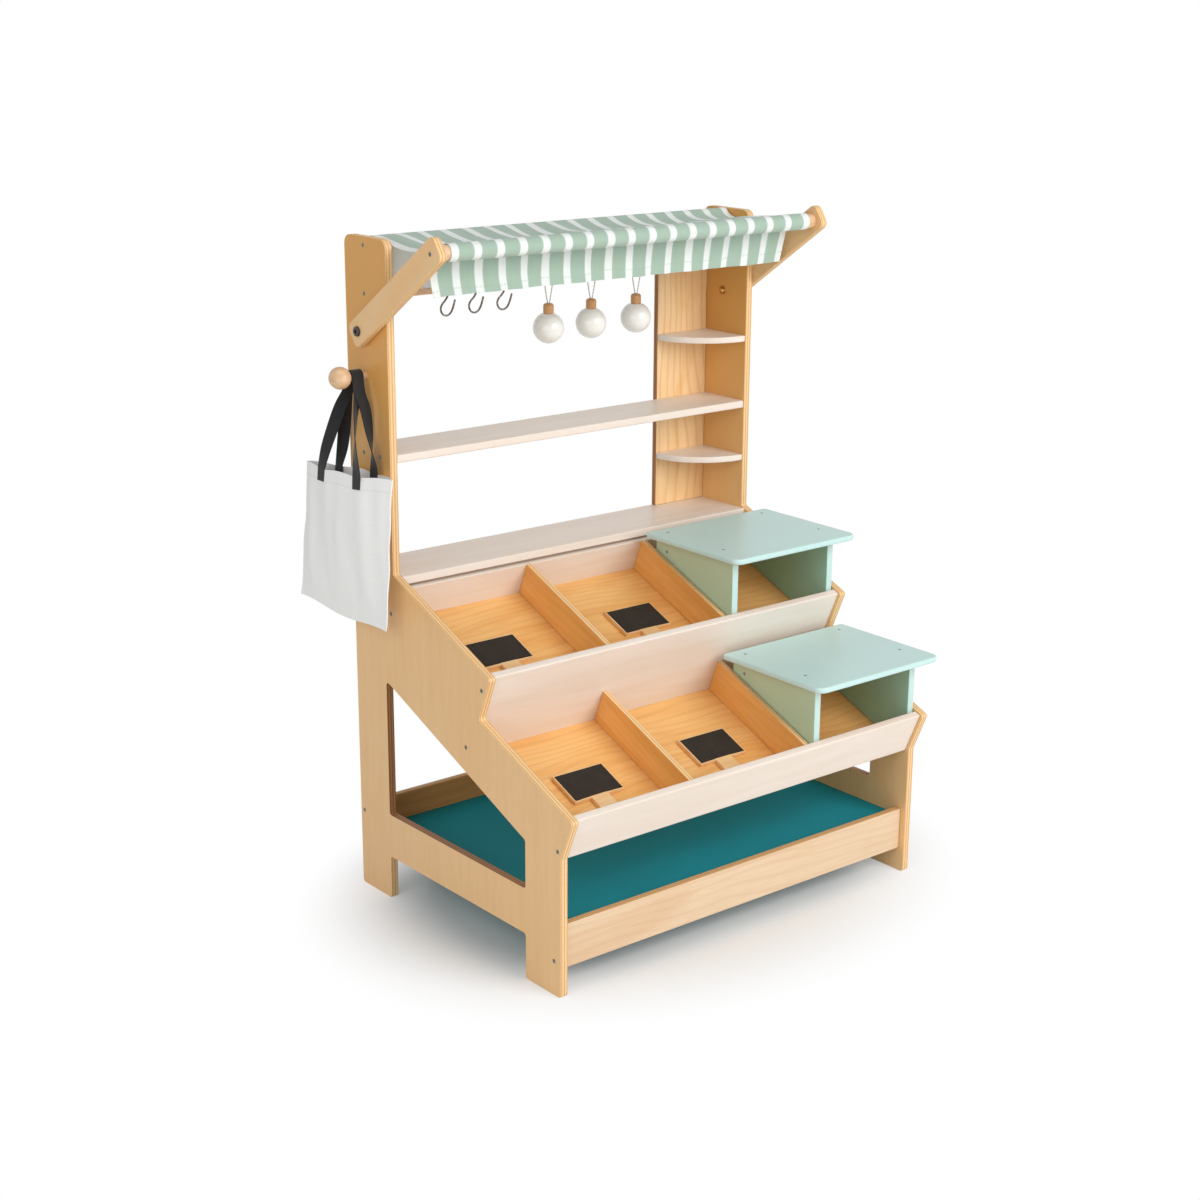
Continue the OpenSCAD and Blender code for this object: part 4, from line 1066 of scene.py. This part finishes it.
def drape(point):
    # the straps and the bag drift rearward and outward as they hang, and the mouth rises to the front
    risen = min(max(-point.z / shopBag["drop"], 0.0), 1.0)
    level = min(max((-point.z - shopBag["drop"]) / shopBag["height"], 0.0), 1.0)
    rear, outward, slope = (risen * first + level * (last - first)
                            for first, last in (shopBag["toRear"], shopBag["outward"], shopBag["slopes"]))
    lift = -point.y * math.tan(math.radians(slope))
    return bagPlace + point + Vector((-outward, rear, lift))


def bagPoint(angle, level):
    # level runs from 0 at the mouth to 1 at the bottom seam
    across = math.cos(angle)
    side = -1 if math.sin(angle) > 0 else 1
    full = shopBag["mouth"] * (1 - 0.25 * level - 0.75 * level ** 4)
    belly = shopBag["seam"] + max(full - shopBag["seam"], 0.0) * (1 - abs(across) ** 1.9)
    # creases fade out towards the seams and the mouth
    soft = noise.noise(Vector((across * 2.8 + level * 0.7, level * 1.1, 1.7 * side)))
    fine = noise.noise(Vector((across * 5.0 + level * 1.2, level * 2.2, 5.0 + side)))
    calm = (1 - abs(across) ** 4) * min(1.0, (1 - level) * 4) * min(1.0, 0.2 + level * 5)
    bulge = belly + calm * shopBag["creases"] * (soft + 0.5 * fine)
    thins, flat = shopBag["hemLevels"]
    bulge = max(bulge, shopBag["bottom"] if level > thins else shopBag["seam"])
    if level > flat:
        bulge = shopBag["bottom"]
    dip = shopBag["dip"] * (1 - level) ** 6 * (math.cos(math.pi * across * 2.4) - 1) * 0.5
    droop = shopBag["droop"] * level ** 3 * math.cos(math.pi * across * 1.2)
    narrow = 1 + 0.02 * level - 0.03 * math.sin(math.pi * level) * (1 - level)
    waver = shopBag["wavyEdge"] * min(1.0, 4 * level) * noise.noise(Vector((across, level * 4.2, 9.0)))
    y = across * (shopBag["width"] / 2 * narrow + waver)
    z = -shopBag["drop"] - level * shopBag["height"] + dip - droop
    return Vector((side * bulge, y, z))


def sewBag():
    bm = bmesh.new()
    flatMap = bm.loops.layers.uv.new("canvasMap")
    bmesh.ops.create_cone(bm, cap_ends=False, segments=shopBag["around"], radius1=1.0, radius2=1.0, depth=1.0)
    upright = [e for e in bm.edges if abs(e.verts[0].co.z - e.verts[1].co.z) > 0.5]
    bmesh.ops.subdivide_edges(bm, edges=upright, cuts=shopBag["rows"], use_grid_fill=True)
    spots = {}
    for vert in bm.verts:
        angle, level = math.atan2(vert.co.y, vert.co.x), 0.5 - vert.co.z
        spots[vert] = (math.cos(angle) * shopBag["width"] / 2, level * shopBag["height"])
        vert.co = drape(bagPoint(angle, level))
    layFlat(bm, flatMap, spots)
    lowest = shopBag["height"] * shopBag["foldLevel"]
    bottom = [v for v in bm.verts if spots[v][1] > lowest]
    bmesh.ops.remove_doubles(bm, verts=bottom, dist=shopBag["joinRoom"])
    bmesh.ops.recalc_face_normals(bm, faces=bm.faces)
    for edge in bm.edges:
        folded = all(spots[v][1] > lowest for v in edge.verts)
        edge.smooth = not (folded or edge.is_boundary)
    obj = addPiece("shoppingBag", bm, [bagCanvas], smooth=True)
    thicken(obj, "canvasWall", shopBag["wall"], offset=-1.0)
    return standFor(obj, "bag")


bag = sewBag()
print("bag sewn")

# straps: webbing that lies flat on the canvas, turns as it rises and crosses the peg; each row of the half is
# forward, up, share of the way out to the canvas and share of the upper strap's rise, in mm from the peg
bagStrap = {
    "width": 0.018,
    "thickness": 0.0015,
    "half": ((47, -156, 1, 0), (46.5, -146, 1, 0), (46, -134, 1, 0), (39, -108, 0.95, 0),
             (30, -78, 0.75, 1.4), (21, -46, 0.45, 2.2), (13, -20, 0, 1.3)),
    "crown": 7.1,
    "crownStep": 22.5,
    "upper": 1.9,
    "smooth": 6,
    "lanes": 4,
}


def strapRows(raised, turns):
    crown = bagStrap["crown"] + raised
    rise = [(f + raised * stack, up, turn, spread)
            for (f, up, spread, stack), turn in zip(bagStrap["half"], turns)]
    angles = (math.radians(bagStrap["crownStep"] * k) for k in range(9))
    over = [(crown * math.cos(a), crown * math.sin(a), 90, 0) for a in angles]
    fall = [(-f, up, turn, spread) for f, up, turn, spread in reversed(rise)]
    return [Vector(row) for row in rise + over + fall]


def sewStrap(name, nodeName, side, raised, lies, turns):
    rows = smoothLine(strapRows(raised, turns), bagStrap["smooth"])
    last = len(rows) - 1
    lengths = runLengths([row.xy / 1000 for row in rows])
    bm = bmesh.new()
    flatMap = bm.loops.layers.uv.new("webbingMap")
    bmesh.ops.create_grid(bm, x_segments=bagStrap["lanes"], y_segments=last, size=0.5)
    spots = {}
    for vert in bm.verts:
        row = round((vert.co.y + 0.5) * last)
        lane = vert.co.x * bagStrap["width"]
        forward, up, turn, spread = rows[row]
        step = rows[min(row + 1, last)] - rows[max(row - 1, 0)]
        along = Vector((0, -step[0], step[1])).normalized()
        angle = math.radians(-turn)
        across = Vector((0, -along.z, along.y)) * math.cos(angle) + Vector((math.sin(angle), 0, 0))
        middle = Vector((side * lies * spread, -forward, up)) / 1000
        spots[vert] = (lane, lengths[row])
        vert.co = drape(middle + across * lane)
    layFlat(bm, flatMap, spots)
    crispRims(bm)
    obj = addPiece(name, bm, [strapWebbing], smooth=True)
    thicken(obj, "webbingThickness", bagStrap["thickness"])
    standFor(obj, nodeName)


sewStrap("outerStrap", "bag_outer_strap", -1, 0.0, 16.8, (0, 0, 0, 18, 36, 52, 80))
sewStrap("innerStrap", "bag_inner_strap", 1, bagStrap["upper"], 12.6, (0, 0, 0, 30, 65, 85, 90))
print("straps sewn")

# floor: pale and matt under the stall, fading to the white of the backdrop a short way off its feet
floorLook = {"radius": 6.0, "color": "#F4F4F3", "reach": (0.52, 0.42, 1.0), "near": 0.60, "far": 1.10}


def raysThatSee(tree):
    # 1 for what the camera sees, straight on or by a mirror or glass
    ray = addNode(tree, "LightPath", {}).outputs
    seen = addNode(tree, "Math", {0: ray["Is Camera Ray"], 1: ray["Is Glossy Ray"]}, operation="MAXIMUM")
    return addNode(tree, "Math", {0: seen, 1: ray["Is Transmission Ray"]}, operation="MAXIMUM")


def layFloor(look):
    bm = bmesh.new()
    bmesh.ops.create_circle(bm, cap_ends=True, segments=96, radius=look["radius"])
    material, tree, coords = startMaterial("paleStudioFloor")
    shares = addNode(tree, "VectorMath", {0: coords["Object"], 1: look["reach"]}, operation="DIVIDE")
    apart = addNode(tree, "VectorMath", {0: shares}, operation="LENGTH")
    fade = addNode(tree, "MapRange", {"Value": apart.outputs["Value"], "From Min": look["near"],
                                      "From Max": look["far"]}, interpolation_type="SMOOTHSTEP")
    share = addNode(tree, "Math", {0: fade, 1: raysThatSee(tree)}, operation="MULTIPLY")
    matt = addNode(tree, "BsdfDiffuse", {"Color": look["color"]})
    white = addNode(tree, "Emission", {"Color": (1, 1, 1, 1), "Strength": 1.0})
    both = addNode(tree, "MixShader", {0: share, 1: matt, 2: white})
    addNode(tree, "OutputMaterial", {"Surface": both})
    addPiece("studioFloor", bm, [material])


layFloor(floorLook)

# soft studio light: a large key high in front, a weaker fill from the left, white all round
studioLight = {
    "sky": 0.42,
    "key": {"place": (0.8, -3.1, 2.1), "aim": (0, 0, 0.5), "size": 2.2, "watts": 86},
    "fill": {"place": (-2.8, -1.2, 1.6), "aim": (0, 0, 0.5), "size": 2.0, "watts": 27},
}


def hangLamp(name, lamp):
    data = bpy.data.lights.new(name, "AREA")
    data.shape = "SQUARE"
    data.size = lamp["size"]
    data.energy = lamp["watts"]
    aim = Vector(lamp["aim"]) - Vector(lamp["place"])
    turn = aim.to_track_quat("-Z", "Y").to_matrix().to_4x4()
    addObject(name, data).matrix_world = Matrix.Translation(lamp["place"]) @ turn


def lightStudio(look):
    hangLamp("keyLight", look["key"])
    hangLamp("fillLight", look["fill"])
    scene.world = bpy.data.worlds.new("whiteStudio")
    scene.world.use_nodes = True
    tree = scene.world.node_tree
    tree.nodes.clear()
    sky = addNode(tree, "Background", {"Color": (1, 1, 1, 1), "Strength": look["sky"]})
    white = addNode(tree, "Background", {"Color": (1, 1, 1, 1), "Strength": 1.0})
    both = addNode(tree, "MixShader", {0: raysThatSee(tree), 1: sky, 2: white})
    addNode(tree, "OutputWorld", {"Surface": both})


lightStudio(studioLight)
print("studio lit")
